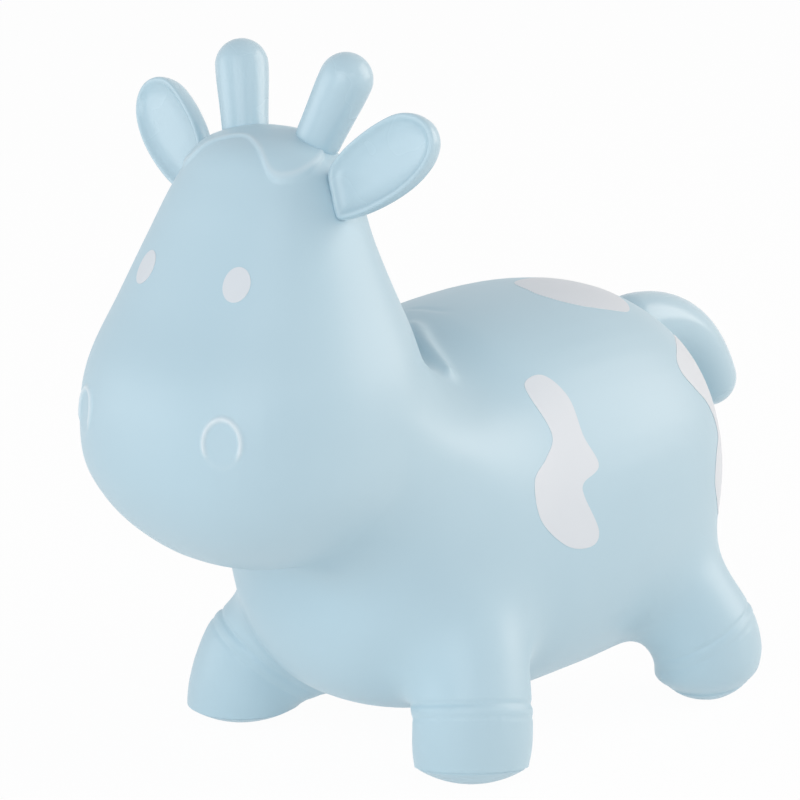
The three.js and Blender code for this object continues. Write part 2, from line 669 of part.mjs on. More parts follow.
// Nostrils: horseshoe ridges, open below
for (const [side, sideName] of SIDES) {
  const { place, normal } = headAt(side, -NOSTRIL_ROUND, NOSTRIL_UP);
  const across = new THREE.Vector3().crossVectors(Z_AXIS, normal).normalize();
  const upward = new THREE.Vector3().crossVectors(normal, across);
  const start = radians(NOSTRIL_OPEN / 2 - 90);
  const sweep = radians(360 - NOSTRIL_OPEN);
  const sections = [];
  const steps = 2 * ARC_STEPS;
  for (let i = 0; i <= steps; i++) {
    const turn = start + (sweep * i) / steps;
    const outward = across.clone().multiplyScalar(Math.cos(turn)).addScaledVector(upward, Math.sin(turn));
    const section = [];
    for (let j = 0; j < RIM_SIDES; j++) {
      const angle = (2 * Math.PI * j) / RIM_SIDES;
      section.push(
        place
          .clone()
          .addScaledVector(outward, NOSTRIL_RADIUS + NOSTRIL_RIM * Math.cos(angle))
          .addScaledVector(normal, -NOSTRIL_RIM * Math.sin(angle)),
      );
    }
    sections.push(section);
  }
  const rim = solid(new LoftGeometry(sections, { capStart: true, capEnd: true }));
  addMesh(`nostril_rim_${sideName}`, rim.subtract(headClear), BLUE);
}

// The origin is on the floor, in the plane of symmetry and halfway along the hopper.
const bounds = new THREE.Box3().setFromObject(hopper, true);
const halfway = (bounds.min.y + bounds.max.y) / 2;
hopper.children.forEach((child) => child.position.sub(new THREE.Vector3(0, halfway, bounds.min.z)));

export default hopper;
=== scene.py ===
# %% [markdown]
# # A bouncy calf to sit on
# The hopper is a calf of soft pale blue vinyl, moulded hollow in one skin and blown up with air. A child
# sits on its back and holds it by the horns. This lesson dresses the imported model: the CAD pieces load as a
# fixed frame, in metres, with the calf facing -Y and its soles on z = 0. We read where the chest is from
# the trunk's box straight away.

# %% Load the frame
import json
import math

import bpy
from mathutils import Matrix, Vector
from mathutils.bvhtree import BVHTree

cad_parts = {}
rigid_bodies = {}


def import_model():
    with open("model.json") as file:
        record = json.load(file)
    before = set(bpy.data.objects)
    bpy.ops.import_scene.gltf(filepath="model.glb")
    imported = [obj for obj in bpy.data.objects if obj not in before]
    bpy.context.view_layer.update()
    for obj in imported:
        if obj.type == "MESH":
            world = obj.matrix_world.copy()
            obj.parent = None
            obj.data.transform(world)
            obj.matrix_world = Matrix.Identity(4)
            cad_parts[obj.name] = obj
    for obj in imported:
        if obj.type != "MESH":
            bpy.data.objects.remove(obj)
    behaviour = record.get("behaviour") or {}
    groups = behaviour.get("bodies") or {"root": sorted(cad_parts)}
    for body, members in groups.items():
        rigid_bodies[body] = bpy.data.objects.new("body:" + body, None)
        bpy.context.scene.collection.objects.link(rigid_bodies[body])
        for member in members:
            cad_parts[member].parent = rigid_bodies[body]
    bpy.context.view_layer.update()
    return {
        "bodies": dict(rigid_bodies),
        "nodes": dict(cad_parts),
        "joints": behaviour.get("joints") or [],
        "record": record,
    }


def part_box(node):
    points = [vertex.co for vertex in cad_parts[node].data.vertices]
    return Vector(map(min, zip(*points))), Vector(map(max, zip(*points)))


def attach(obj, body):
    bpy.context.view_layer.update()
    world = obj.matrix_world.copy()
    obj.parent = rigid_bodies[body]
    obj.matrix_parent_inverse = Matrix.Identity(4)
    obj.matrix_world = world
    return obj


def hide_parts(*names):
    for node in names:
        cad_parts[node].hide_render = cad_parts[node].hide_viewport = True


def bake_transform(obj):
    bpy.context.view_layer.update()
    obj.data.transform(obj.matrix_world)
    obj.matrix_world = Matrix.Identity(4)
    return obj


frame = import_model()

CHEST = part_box("trunk_shell")[0].y

# %% [markdown]
# ## Camera
# The picture was taken from the calf's front left, a little above its back, with a long lens that keeps its
# sides nearly parallel. We could aim the camera by eye, but one direction, one distance and one lens are
# easier to check, so the camera is placed by its angles and looks at a point inside the trunk.

# %% Place the camera
AZIMUTH, ELEVATION = math.radians(43.26), math.radians(13.58)
DISTANCE, LENS, SENSOR = 2.35, 157.57, 36
AIM_ASIDE, AIM_BEHIND_CHEST, AIM_HEIGHT = -0.0738, 0.178, 0.1982

backward = Vector((math.sin(AZIMUTH) * math.cos(ELEVATION), -math.cos(AZIMUTH) * math.cos(ELEVATION),
                   math.sin(ELEVATION)))
looked_at = Vector((AIM_ASIDE, CHEST + AIM_BEHIND_CHEST, AIM_HEIGHT))
bpy.ops.object.camera_add(location=looked_at + backward * DISTANCE,
                          rotation=backward.to_track_quat("Z", "Y").to_euler())
camera = bpy.context.object
camera.data.lens, camera.data.sensor_width = LENS, SENSOR
bpy.context.scene.camera = camera
print("camera at", [round(v, 3) for v in camera.location])

# %% [markdown]
# ## Ways of working
# An operator works on all that is selected, and loading the frame leaves its nodes selected. So each step
# starts by selecting nothing, or only one object. An outline is drawn with one point, which is extruded
# from place to place.

# %% Select, copy and draw
POINT_SIZE = 0.002


def in_mode(name):
    bpy.ops.object.mode_set(mode=name)


def pick_all():
    bpy.ops.mesh.select_all(action="SELECT")


def select_none():
    if bpy.context.object and bpy.context.object.mode != "OBJECT":
        in_mode("OBJECT")
    bpy.ops.object.select_all(action="DESELECT")


def select_only(*pieces):
    select_none()
    for piece in pieces:
        piece.select_set(True)
    bpy.context.view_layer.objects.active = pieces[0]


def edit_points(piece, wanted):
    """Go into edit mode with just the wanted points selected."""
    select_only(piece)
    in_mode("EDIT")
    bpy.ops.mesh.select_mode(type="VERT")
    bpy.ops.mesh.select_all(action="DESELECT")
    in_mode("OBJECT")
    for point in piece.data.vertices:
        point.select = bool(wanted(point.co))
    in_mode("EDIT")


def named(name):
    """The object that is active, under a name of its own."""
    piece = bpy.context.object
    piece.name = piece.data.name = name
    return piece


def copy_of(piece, name):
    select_only(piece)
    bpy.ops.object.duplicate()
    return named(name)


def part_of(piece, name, wanted):
    """A copy of a piece that has only the wanted points."""
    copy = copy_of(piece, name)
    edit_points(copy, lambda point: not wanted(point))
    bpy.ops.mesh.delete(type="VERT")
    in_mode("OBJECT")
    return copy


def extrude(step):
    bpy.ops.mesh.extrude_region_move(TRANSFORM_OT_translate={"value": step})


def resize(factors, middle):
    bpy.ops.transform.resize(value=factors, center_override=middle)


def drawn(name, line):
    """A chain of points, left in edit mode with all of it selected."""
    select_none()
    bpy.ops.mesh.primitive_plane_add(size=POINT_SIZE)
    piece = named(name)
    in_mode("EDIT")
    bpy.ops.mesh.select_mode(type="VERT")
    pick_all()
    bpy.ops.mesh.merge(type="CENTER")
    bpy.ops.transform.translate(value=line[0])
    for old, new in zip(line, line[1:]):
        extrude(new - old)
    pick_all()
    return piece


def turn_outward():
    """Turn all faces of the piece that is edited outwards, and leave edit mode."""
    pick_all()
    bpy.ops.mesh.normals_make_consistent(inside=False)
    in_mode("OBJECT")


def said(name, piece):
    print(name, len(piece.data.vertices), "points", [round(v, 3) for v in piece.dimensions])


select_none()

# %% [markdown]
# ## Weights
# A modifier is added, set and applied at once, which leaves plain meshes. Where it should work on a part of
# a piece only, each point gets a weight by a rule of place: 1 where it works fully, and 0 where it does
# nothing.

# %% Shape by weights
LEAST_WEIGHT, SMOOTH_FACTOR = 0.001, 0.5


def modified(piece, kind, **settings):
    select_only(piece)
    bpy.ops.object.modifier_add(type=kind)
    modifier = piece.modifiers[-1]
    for name, value in settings.items():
        setattr(modifier, name, value)
    bpy.ops.object.modifier_apply(modifier=modifier.name)


def weighted(piece, weight_at, kind, **settings):
    """Apply a modifier by the weight of each point."""
    group = piece.vertex_groups.new(name="weight")
    for point in piece.data.vertices:
        weight = weight_at(point.co)
        if weight > LEAST_WEIGHT:
            group.add([point.index], min(weight, 1), "REPLACE")
    modified(piece, kind, vertex_group=group.name, **settings)
    piece.vertex_groups.clear()


def smoothed(piece, weight_at, times):
    weighted(piece, weight_at, "SMOOTH", factor=SMOOTH_FACTOR, iterations=times)


def raised(piece, weight_at, height):
    weighted(piece, weight_at, "DISPLACE", strength=height, mid_level=0)


def divided(piece, wanted, cuts):
    """Divide the faces between the wanted points finer."""
    edit_points(piece, wanted)
    bpy.ops.mesh.subdivide(number_cuts=cuts, smoothness=0)
    in_mode("OBJECT")


def ease(share):
    """A soft rise from 0 to 1."""
    share = min(max(share, 0), 1)
    return share * share * (3 - 2 * share)


def bell(share):
    """A soft hump: 1 at 0, and nearly 0 from 2 on."""
    return math.exp(-share ** 2)


def between(value, span):
    return span[0] < value < span[1]


# %% [markdown]
# ## Lofted bodies
# Trunk and head are round bodies with no straight line in them. They could be sculpted, or squeezed out of
# a ball, but then their sizes would drift. Instead each is lofted: a square with fully rounded corners is
# extruded ring by ring, and each new ring is resized about its own middle. The vertex bevel's profile sets
# how square the ring is. A short table gives the rows, and a smooth reading between them gives as many
# rings as we like.

# %% Read a table of rows and loft it
# A ring of fullness 2 is round, and a higher one makes it squarer
ROUND, UPRIGHT = 2, (0, 0)
CORNER_SEGMENTS, SQUARE_WELD = 12, 0.001


def curved(a, b, c, d, t):
    """The smooth curve through four values in a row, t of the way from the second to the third."""
    return b + 0.5 * t * (c - a + t * (2 * a - 5 * b + 4 * c - d + t * (3 * b - a - 3 * c + d)))


def reading(rows, share):
    """Smooth values between rows, at 0 the first row and at 1 the last, closing roundly at both ends."""
    def beyond(row):
        return row[0], -row[1], row[3], row[2]
    knots = [beyond(rows[1]), *rows, beyond(rows[-2])]
    at = share * (len(rows) - 1)
    first = min(int(at), len(rows) - 2)
    return [curved(*four, at - first) for four in zip(*knots[first:first + 4])]


def leaned(old, new, middle):
    """Turn what is selected from one pair of leans, about X and then Y, to another."""
    for axis, angle in (("Y", -old[1]), ("X", new[0] - old[0]), ("Y", new[1])):
        if angle:
            bpy.ops.transform.rotate(value=-angle, orient_axis=axis, center_override=middle)


def lofted(name, fullness, turn, rings):
    """A closed skin through rounded squares. A ring is a middle, half sizes and leans about X and Y."""
    select_none()
    bpy.ops.mesh.primitive_plane_add(size=2, rotation=turn)
    piece = named(name)
    bpy.ops.object.transform_apply(location=False, rotation=True, scale=False)
    in_mode("EDIT")
    pick_all()
    bpy.ops.mesh.bevel(offset_type="PERCENT", offset_pct=50, segments=CORNER_SEGMENTS,
                       profile=2 ** (-2 / fullness), affect="VERTICES", clamp_overlap=False)
    bpy.ops.mesh.remove_doubles(threshold=SQUARE_WELD)
    pick_all()
    resize(rings[0][1], (0, 0, 0))
    bpy.ops.transform.translate(value=rings[0][0])
    leaned(UPRIGHT, rings[0][2], rings[0][0])
    for (old, old_half, old_lean), (new, new_half, new_lean) in zip(rings, rings[1:]):
        extrude(new - old)
        leaned(old_lean, new_lean, new)
        resize([n / o for n, o in zip(new_half, old_half)], new)
    turn_outward()
    return piece


# %% [markdown]
# ## Trunk
# The trunk is a barrel with a flat-cheeked chest and a rump that draws in towards the tail. Its rows give
# the share of the length, of the half width, and of the height at the back and at the belly.

# %% Loft the trunk
TRUNK_LENGTH, TRUNK_WIDTH, TRUNK_FULLNESS = 0.356, 0.248, 2.2
BELLY, SEAT = 0.019, 0.283
TRUNK_ROWS = [
    (0, 0, 0.36, 0.36), (0.028, 0.46, 0.6, 0.18), (0.121, 0.78, 0.805, 0.07), (0.298, 0.94, 0.957, 0.01),
    (0.531, 1, 1, 0.015), (0.725, 0.955, 0.985, 0.03), (0.851, 0.825, 0.915, 0.075),
    (0.935, 0.6, 0.82, 0.155), (0.983, 0.3, 0.69, 0.31), (1, 0, 0.5, 0.5),
]
FIRST_SHARE, SHARE_SPAN, RING_STEPS = 0.006, 0.988, 44
SHARES = [FIRST_SHARE + SHARE_SPAN * i / RING_STEPS for i in range(RING_STEPS + 1)]
ALONG_Y = (math.pi / 2, 0, 0)
ALONG_Z = (0, 0, 0)


def trunk_ring(share):
    step, width, back, belly = reading(TRUNK_ROWS, share)
    middle = Vector((0, CHEST + TRUNK_LENGTH * step, BELLY + (SEAT - BELLY) * (back + belly) / 2))
    return middle, Vector((TRUNK_WIDTH / 2 * width, 1, (SEAT - BELLY) / 2 * (back - belly))), UPRIGHT


trunk = lofted("trunk", TRUNK_FULLNESS, ALONG_Y, [trunk_ring(s) for s in SHARES])
said("trunk:", trunk)

# %% [markdown]
# ## Head
# The head is a pear that stands on its fat end: wide soft jowls below, a narrow poll above. It is lofted
# upwards from the chin, with rows of height, half width, and depth at the neck and at the nose.

# %% Loft the head
HEAD_HEIGHT, HEAD_WIDTH, HEAD_DEPTH, HEAD_FULLNESS = 0.272, 0.214, 0.224, 2.4
CHIN, NOSE = 0.142, CHEST - 0.129
HEAD_ROWS = [
    (0, 0, 0.62, 0.62), (0.025, 0.445, 0.97, 0.3), (0.11, 0.765, 1, 0.12), (0.23, 0.96, 0.985, 0.016),
    (0.35, 1, 0.96, 0), (0.48, 0.96, 0.875, 0.037), (0.62, 0.83, 0.783, 0.135), (0.76, 0.685, 0.717, 0.223),
    (0.88, 0.55, 0.688, 0.294), (0.97, 0.36, 0.628, 0.364), (1, 0, 0.5, 0.5),
]


def head_ring(share):
    step, width, neck, nose = reading(HEAD_ROWS, share)
    middle = Vector((0, NOSE + HEAD_DEPTH * (neck + nose) / 2, CHIN + HEAD_HEIGHT * step))
    return middle, Vector((HEAD_WIDTH / 2 * width, HEAD_DEPTH / 2 * (neck - nose), 1)), UPRIGHT


head = lofted("head", HEAD_FULLNESS, ALONG_Z, [head_ring(s) for s in SHARES])
said("head:", head)

# %% [markdown]
# ## Places on the skin
# Horns, ears, eyes, nostrils, tail and valve all sit somewhere on these two bodies. A place is an angle
# around the body and a share of its rows. Two small steps along the skin give the outward direction there.

# %% Find a place on the skin
# Degrees around the body and share of its rows
HORN_AT, EAR_AT, EYE_AT, NOSTRIL_AT = (25, 0.915), (3, 0.805), (-65, 0.656), (-60, 0.424)
TAIL_AT, VALVE_AT = (90, 0.77), (-90, 0.83)
SMALL_TURN, SMALL_SHARE = 0.1, 0.001
UP, DOWN, FORWARD = Vector((0, 0, 1)), Vector((0, 0, -1)), Vector((0, -1, 0))
HEAD, TRUNK = (head_ring, HEAD_FULLNESS, True), (trunk_ring, TRUNK_FULLNESS, False)


def on_ring(body, degrees, share):
    ring_at, fullness, upright = body
    middle, half, _ = ring_at(share)
    turn = math.radians(degrees)
    across, other = (math.copysign(abs(v) ** (2 / fullness), v) for v in (math.cos(turn), math.sin(turn)))
    if upright:
        return middle + Vector((half.x * across, half.y * other, 0))
    return middle + Vector((half.x * across, 0, half.z * other))


def place_on(body, degrees, share):
    """A place on a body and the outward direction there."""
    around = on_ring(body, degrees + SMALL_TURN, share) - on_ring(body, degrees - SMALL_TURN, share)
    onward = on_ring(body, degrees, share + SMALL_SHARE) - on_ring(body, degrees, share - SMALL_SHARE)
    outward = around.cross(onward) * (1 if body is HEAD else -1)
    return on_ring(body, degrees, share), outward.normalized()


def standing(place, up, facing):
    """The matrix that stands a piece on a place: its Z along up, its Y away from facing."""
    z = up.normalized()
    x = (-facing).cross(z).normalized()
    return Matrix.Translation(place) @ Matrix((x, z.cross(x), z)).transposed().to_4x4()


def mirrored(vector):
    return Vector((-vector.x, vector.y, vector.z))


for label, body, at in (("left horn", HEAD, HORN_AT), ("tail", TRUNK, TAIL_AT)):
    place, outward = place_on(body, *at)
    print(label, [round(v, 4) for v in place], "outward", [round(v, 2) for v in outward])

# %% [markdown]
# ## Neck
# Between cheek and shoulder the skin runs on without a crease. Two bodies that only touch would leave a
# valley there. So on each side a band of points on the back of the cheek and a band on the front of the
# shoulder are copied, and a convex hull is drawn over both, which bridges the valley. The middle of the
# nape is left out, since the skin folds there.

# %% Bridge the neck with a hull
# The bands' stretches behind the chest and their heights, and how far aside they begin
CHEEK_BAND, SHOULDER_BAND = ((-0.01, 0.05), (0.154, 0.252)), ((0.052, 0.115), (0.092, 0.23))
NECK_ASIDE = 0.05


def bridged(name, *bands):
    """A convex hull over the points that are kept of each body."""
    select_only(*[part_of(body, name, kept) for body, kept in bands])
    bpy.ops.object.join()
    bridge = named(name)
    edit_points(bridge, lambda point: True)
    bpy.ops.mesh.convex_hull()
    in_mode("OBJECT")
    return bridge


def in_band(side, stretch, heights):
    return lambda point: (side * point.x > NECK_ASIDE and between(point.y - CHEST, stretch)
                          and between(point.z, heights))


necks = [bridged("neck", (head, in_band(side, *CHEEK_BAND)), (trunk, in_band(side, *SHOULDER_BAND)))
         for side in (1, -1)]
for neck in necks:
    said("neck:", neck)

# %% [markdown]
# ## Legs
# Four short stubs carry the trunk, splayed outwards and to the ends, the front right one most. Below the
# ankle each foot turns more level, though the front left one keeps two thirds of its leg's lean. A leg is
# lofted down its own axis from inside the trunk, and from the ankle on each ring leans less than the one
# above it. The rings go on below the floor for now. A small hull bridges the corner between the front right
# leg and the belly, as at the neck.

# %% Loft the legs
LEG_RADIUS, HOOF_RADIUS, ANKLE_HEIGHT, SOLE_HEIGHT = 0.0375, 0.0383, 0.0425, 0.0085
# Side, end, degrees of splay outwards and lengthways, then the ankle and the sole as shares of the trunk's
# half width and length, the tuck at the sole's edge, and the share of the lean that the sole keeps
FEET = {
    "front_left": (1, -1, 14, 14, (0.79, 0.173), (0.752, 0.186), 0.0025, 0.65),
    "front_right": (-1, -1, 31, 30, (0.768, 0.172), (0.838, 0.158), 0.002, 0),
    "rear_left": (1, 1, 21, 23, (0.818, 0.818), (0.768, 0.85), 0.013, 0.2),
    "rear_right": (-1, 1, 21, 23, (0.818, 0.818), (0.768, 0.85), 0.013, 0.2),
}
# Height above the ankle along the leg, and radius
THIGH_ROWS = [(0.091, 0.026), (0.07, 0.034), (0.049, LEG_RADIUS), (0.026, LEG_RADIUS), (0.01, LEG_RADIUS)]
# Share of the way up from the sole to the ankle, and the part of the tuck that is taken there
HOOF_ROWS = [(1, 0.1), (0.75, 0), (0.5, 0), (0.25, 0.25), (0.1, 0.62), (0, 1), (-0.35, 1), (-0.7, 1)]
# The leg's side of the web: how far inwards of the ankle it begins, and its heights along the leg
WEB_BEGINS, WEB_HEIGHTS = 0.018, (-0.006, 0.03)
# The belly's side: how high it goes, and how near it stays to a point that is this far inwards of the ankle
WEB_TOP, WEB_REACH, WEB_INWARD = 0.075, 0.034, 0.052


def standing_at(side, shares, height):
    return Vector((side * TRUNK_WIDTH / 2 * shares[0], CHEST + TRUNK_LENGTH * shares[1], height))


def leg_axis(side, end, out, lengthways):
    across, along = math.tan(math.radians(out)), math.tan(math.radians(lengthways))
    return Vector((-side * across, -end * along, 1)).normalized()


def leans(axis):
    return -math.asin(axis.y), math.atan2(axis.x, axis.z)


def round_half(radius):
    return Vector((1, 1, 1)) * radius


def leg_rings(side, end, out, lengthways, ankle, sole, tuck, tilt):
    axis = leg_axis(side, end, out, lengthways)
    ankle, sole = standing_at(side, ankle, ANKLE_HEIGHT), standing_at(side, sole, SOLE_HEIGHT)
    rings = [(ankle + axis * height, round_half(radius), leans(axis)) for height, radius in THIGH_ROWS]
    for share, taken in HOOF_ROWS:
        level = UP.slerp(axis, max(share, tilt))
        below = level * share * (ANKLE_HEIGHT - SOLE_HEIGHT)
        middle = sole.lerp(ankle, share) if share > 0 else sole + below
        rings.append((middle, round_half(HOOF_RADIUS - tuck * taken), leans(level)))
    return rings


legs = [lofted("leg_" + name, ROUND, ALONG_Z, leg_rings(*foot)) for name, foot in FEET.items()]
leg_frames = []
for side, end, out, lengthways, ankle, *_ in FEET.values():
    ankle_place = standing_at(side, ankle, ANKLE_HEIGHT)
    leg_frames.append(standing(ankle_place, leg_axis(side, end, out, lengthways), FORWARD).inverted())
right_leg, right_frame = legs[1], leg_frames[1]
right_ankle, inward = right_frame.inverted().translation, Vector((1, 1, 0)).normalized()


def web_on_leg(point):
    return (point - right_ankle).dot(inward) > WEB_BEGINS and between((right_frame @ point).z, WEB_HEIGHTS)


def web_on_belly(point):
    return point.z < WEB_TOP and (point - right_ankle - inward * WEB_INWARD).length < WEB_REACH


web = bridged("web", (right_leg, web_on_leg), (trunk, web_on_belly))
for name, leg in zip(FEET, legs):
    said(name, leg)

# %% [markdown]
# ## One skin
# The real calf is one moulding, so its cheeks run into its shoulders and its thighs into its belly without
# an edge. Joining the bodies and remeshing them in small voxels makes them one skin. Smoothing the whole
# skin a little takes the voxels' steps out. Then the places where two bodies meet are smoothed much more:
# the nearer a point is to both bodies, the more it gives way, which fills the crease as the air pressure
# does. The nape keeps more of its shape, and so does the skin under the chin. Where the bridge is too full,
# a spot behind each cheek is drawn in first, and a spot on each shoulder is smoothed with the neck.

# %% Join, remesh and soften
VOXEL, SKIN_SMOOTHING, NECK_SMOOTHING, HIP_SMOOTHING = 0.0037, 8, 620, 220
# How far away a body is looked for, the gap over which giving way fades out, and for the neck what moves
# that fade farther off
NECK_SEARCH, NECK_GAP, NECK_EXTRA = 0.06, 0.05, 1.15
HIP_SEARCH, HIP_GAP = 0.05, 0.045
# Where the neck ends towards the back and the floor, and the hips upwards
NECK_END, NECK_BOTTOM, HIP_TOP = 0.02, 0.1, 0.2
# Height and half width of the nape and of the skin under the chin, and the share of the smoothing kept off
NAPE_FROM, NAPE_HALF, NAPE_KEPT = 0.25, 0.045, 0.6
CHIN_UP_TO, CHIN_HALF, CHIN_KEPT = 0.185, 0.05, 0.8
SOFT_EDGE = 0.03
# The hips give way least near the ankles, up to a height and over a stretch
HIP_LEAST, ANKLES_UP_TO, ANKLES_FADE = 0.3, 0.045, 0.04
# Distance aside, behind the chest and above the floor of a spot, and its radius
SHOULDER_SPOT, CHEEK_SPOT = (0.095, 0.075, 0.232, 0.045), (0.088, 0.035, 0.258, 0.024)
CHEEK_HOLLOW = -0.007


def tree_of(*pieces):
    points, faces = [], []
    for piece in pieces:
        start = len(points)
        points += [point.co.copy() for point in piece.data.vertices]
        faces += [[start + i for i in face.vertices] for face in piece.data.polygons]
    return BVHTree.FromPolygons(points, faces)


trunk_tree, head_tree, leg_tree = tree_of(trunk), tree_of(head), tree_of(*legs)
select_only(trunk, head, *necks, *legs, web)
bpy.ops.object.join()
skin = named("skin")
skin.data.remesh_voxel_size = VOXEL
bpy.ops.object.voxel_remesh()
bpy.ops.object.shade_smooth()
modified(skin, "SMOOTH", factor=SMOOTH_FACTOR, iterations=SKIN_SMOOTHING)


def gap_to(trees, place, limit):
    """The distance from the farther of two bodies, or the limit."""
    found = [tree.find_nearest(place, limit)[3] for tree in trees]
    return max(limit if gap is None else gap for gap in found)


def near(aside, behind, height, radius):
    """A hump of weight about a spot on either side, at a distance behind the chest."""
    def weight(place):
        off = Vector((abs(place.x) - aside, place.y - CHEST - behind, place.z - height))
        return bell(off.length / radius)
    return weight


on_shoulder, behind_cheeks = near(*SHOULDER_SPOT), near(*CHEEK_SPOT)


def neck_blend(place):
    if place.y > NECK_END or place.z < NECK_BOTTOM:
        return 0
    gap = gap_to((trunk_tree, head_tree), place, NECK_SEARCH)
    nape = ease((place.z - NAPE_FROM) / SOFT_EDGE) * ease((NAPE_HALF - abs(place.x)) / SOFT_EDGE)
    chin = ease((CHIN_HALF - abs(place.x)) / SOFT_EDGE) * ease((CHIN_UP_TO - place.z) / SOFT_EDGE)
    joined = ease(NECK_EXTRA - gap / NECK_GAP) * (1 - NAPE_KEPT * nape) * (1 - CHIN_KEPT * chin)
    return max(joined, on_shoulder(place))


def hip_blend(place):
    if place.z > HIP_TOP:
        return 0
    gap = gap_to((trunk_tree, leg_tree), place, HIP_SEARCH)
    above_ankles = ease((place.z - ANKLES_UP_TO) / ANKLES_FADE)
    return ease(1 - gap / HIP_GAP) * (HIP_LEAST + (1 - HIP_LEAST) * above_ankles)


raised(skin, behind_cheeks, CHEEK_HOLLOW)
smoothed(skin, neck_blend, NECK_SMOOTHING)
smoothed(skin, hip_blend, HIP_SMOOTHING)
said("skin:", skin)

# %% [markdown]
# ## Soles
# Each foot ends in a crisp edge with a shallow dome below it, and the floor presses the soft dome flat. The
# foot is cut across at that edge. The open rim is extruded inwards in rings that follow the dome, the last
# ring is closed with one face, and all that would be below the floor is flattened onto it.

# %% Cut the feet and dome their soles
SOLE_DOME, SOLE_LIP, SOLE_RINGS, TOUCH = 0.011, 0.0013, 12, 0.0002
FOOT_TOP, FOOT_REACH = 0.032, 0.062

for side, end, out, lengthways, _, sole, tuck, tilt in FEET.values():
    middle = standing_at(side, sole, SOLE_HEIGHT)
    up = UP.slerp(leg_axis(side, end, out, lengthways), tilt)
    edit_points(skin, lambda point: point.z < FOOT_TOP and (point - middle).length < FOOT_REACH)
    bpy.ops.mesh.bisect(plane_co=middle, plane_no=up, clear_inner=True)
    bpy.ops.mesh.mark_sharp()
    edge = HOOF_RADIUS - tuck
    ball = (edge ** 2 + SOLE_DOME ** 2) / (2 * SOLE_DOME)
    widest = math.asin((edge - 2 * SOLE_LIP) / ball)
    angles = [widest * (1 - step / SOLE_RINGS) for step in range(SOLE_RINGS)]
    rings = [(edge - SOLE_LIP / 2, SOLE_LIP), (edge - SOLE_LIP, SOLE_LIP)]
    rings += [(ball * math.sin(angle), ball * (1 - math.cos(angle)) - SOLE_DOME) for angle in angles]
    last, at = edge, 0
    for radius, height in rings:
        extrude(up * (height - at))
        resize((radius / last,) * 3, middle + up * height)
        last, at = radius, height
    bpy.ops.mesh.edge_face_add()
edit_points(skin, lambda point: point.z < TOUCH)
resize((1, 1, 0), (0, 0, TOUCH))
in_mode("OBJECT")
said("skin with soles:", skin)

# %% [markdown]
# ## Ankles
# Two soft grooves run round each ankle with a band between them, the upper groove the deeper. They fade on
# the inner side. The skin is divided finer there, smoothed, and drawn in by weights that depend on the
# height along the leg, in millimetres from the ankle.

# %% Draw the grooves in
# Millimetres from the lower groove up to the upper one, and for what is nowhere near
BAND, AWAY = 8.5, 99
# An ankle is looked for within metres above the floor, and millimetres along the leg and from its axis
ANKLE_TOP, ANKLE_SPAN, ANKLE_REACH = 0.1, 24, 52
# How fully a groove shows halfway round the leg, and what is added towards the outer side
OUTER_LEVEL, OUTER_GAIN = 1.1, 0.7
ZONE_HALF, ZONE_FADE, ZONE_CUTS, ZONE_SMOOTHING = 12, 3, 2, 10
UPPER_WIDTH, LOWER_WIDTH, LOWER_SHARE, BAND_WIDTH = 1.7, 1.6, 0.45, 3
GROOVE_HEIGHT, BAND_HEIGHT = -0.001, 0.0003


def at_ankle(point):
    """Millimetres along the leg from its ankle, or a long way off, and how far on the outer side it is."""
    if point.z < ANKLE_TOP:
        for frame, (side, end, *_) in zip(leg_frames, FEET.values()):
            x, y, z = (frame @ point) * 1000
            if abs(z) < ANKLE_SPAN and math.hypot(x, y) < ANKLE_REACH:
                off = point - frame.inverted().translation
                return z, ease(OUTER_LEVEL + OUTER_GAIN * (side * off.x + end * off.y) / off.length)
    return AWAY, 0


def ankle_zone(point):
    return ease((ZONE_HALF - abs(at_ankle(point)[0] - BAND / 2)) / ZONE_FADE)


def groove(point):
    height, outer = at_ankle(point)
    return outer * (bell((height - BAND) / UPPER_WIDTH) + LOWER_SHARE * bell(height / LOWER_WIDTH))


def band(point):
    height, outer = at_ankle(point)
    return outer * bell((height - BAND / 2) / BAND_WIDTH)


divided(skin, lambda point: ankle_zone(point) > 0, ZONE_CUTS)
smoothed(skin, ankle_zone, ZONE_SMOOTHING)
raised(skin, groove, GROOVE_HEIGHT)
raised(skin, band, BAND_HEIGHT)
said("skin with ankles:", skin)

# %% [markdown]
# ## Nape
# Where the head is bent up, the skin of the nape is pushed into a fold: a crease round the back of the
# head, the same on both sides of its middle, and on the left a soft ridge behind it, like the edge of a
# leaf. A second, faint crease runs across the back. Each follows a short line seen from above, and the
# skin is drawn in or pushed out by its distance from that line.

# %% Fold the nape
def from_chest(points):
    """Millimetres aside and behind the chest as places seen from above."""
    return [(x / 1000, CHEST + y / 1000) for x, y in points]


NAPE_CREASE = from_chest([(0, 107), (10, 101), (25, 89), (37, 80), (50, 70), (60, 62)])
NAPE_RIDGE = from_chest([(-6, 114), (11, 105), (26, 96), (37, 90), (45, 86), (57, 81), (66, 74)])
BACK_CREASE = from_chest([(-24, 128), (-13, 132), (0, 133), (14, 136)])
# Width of each line, share of it over which an end fades, and height
FOLDS = [(NAPE_CREASE, 0.004, 0.2, -0.003), (NAPE_RIDGE, 0.005, 0.2, 0.0048),
         (BACK_CREASE, 0.003, 0.3, -0.0007)]
# Where the skin is divided finer and smoothed, and where it follows the lines
FINE_FROM, FINE_ACROSS, FINE_STRETCH = 0.2, (-0.04, 0.085), (CHEST + 0.05, CHEST + 0.145)
FOLD_HEIGHTS, FOLD_FRONT, FOLD_END, START_EXTRA = (0.2, 0.285), CHEST + 0.03, 0.02, 0.02
FINE_CUTS, FINE_SMOOTHING = 1, 4


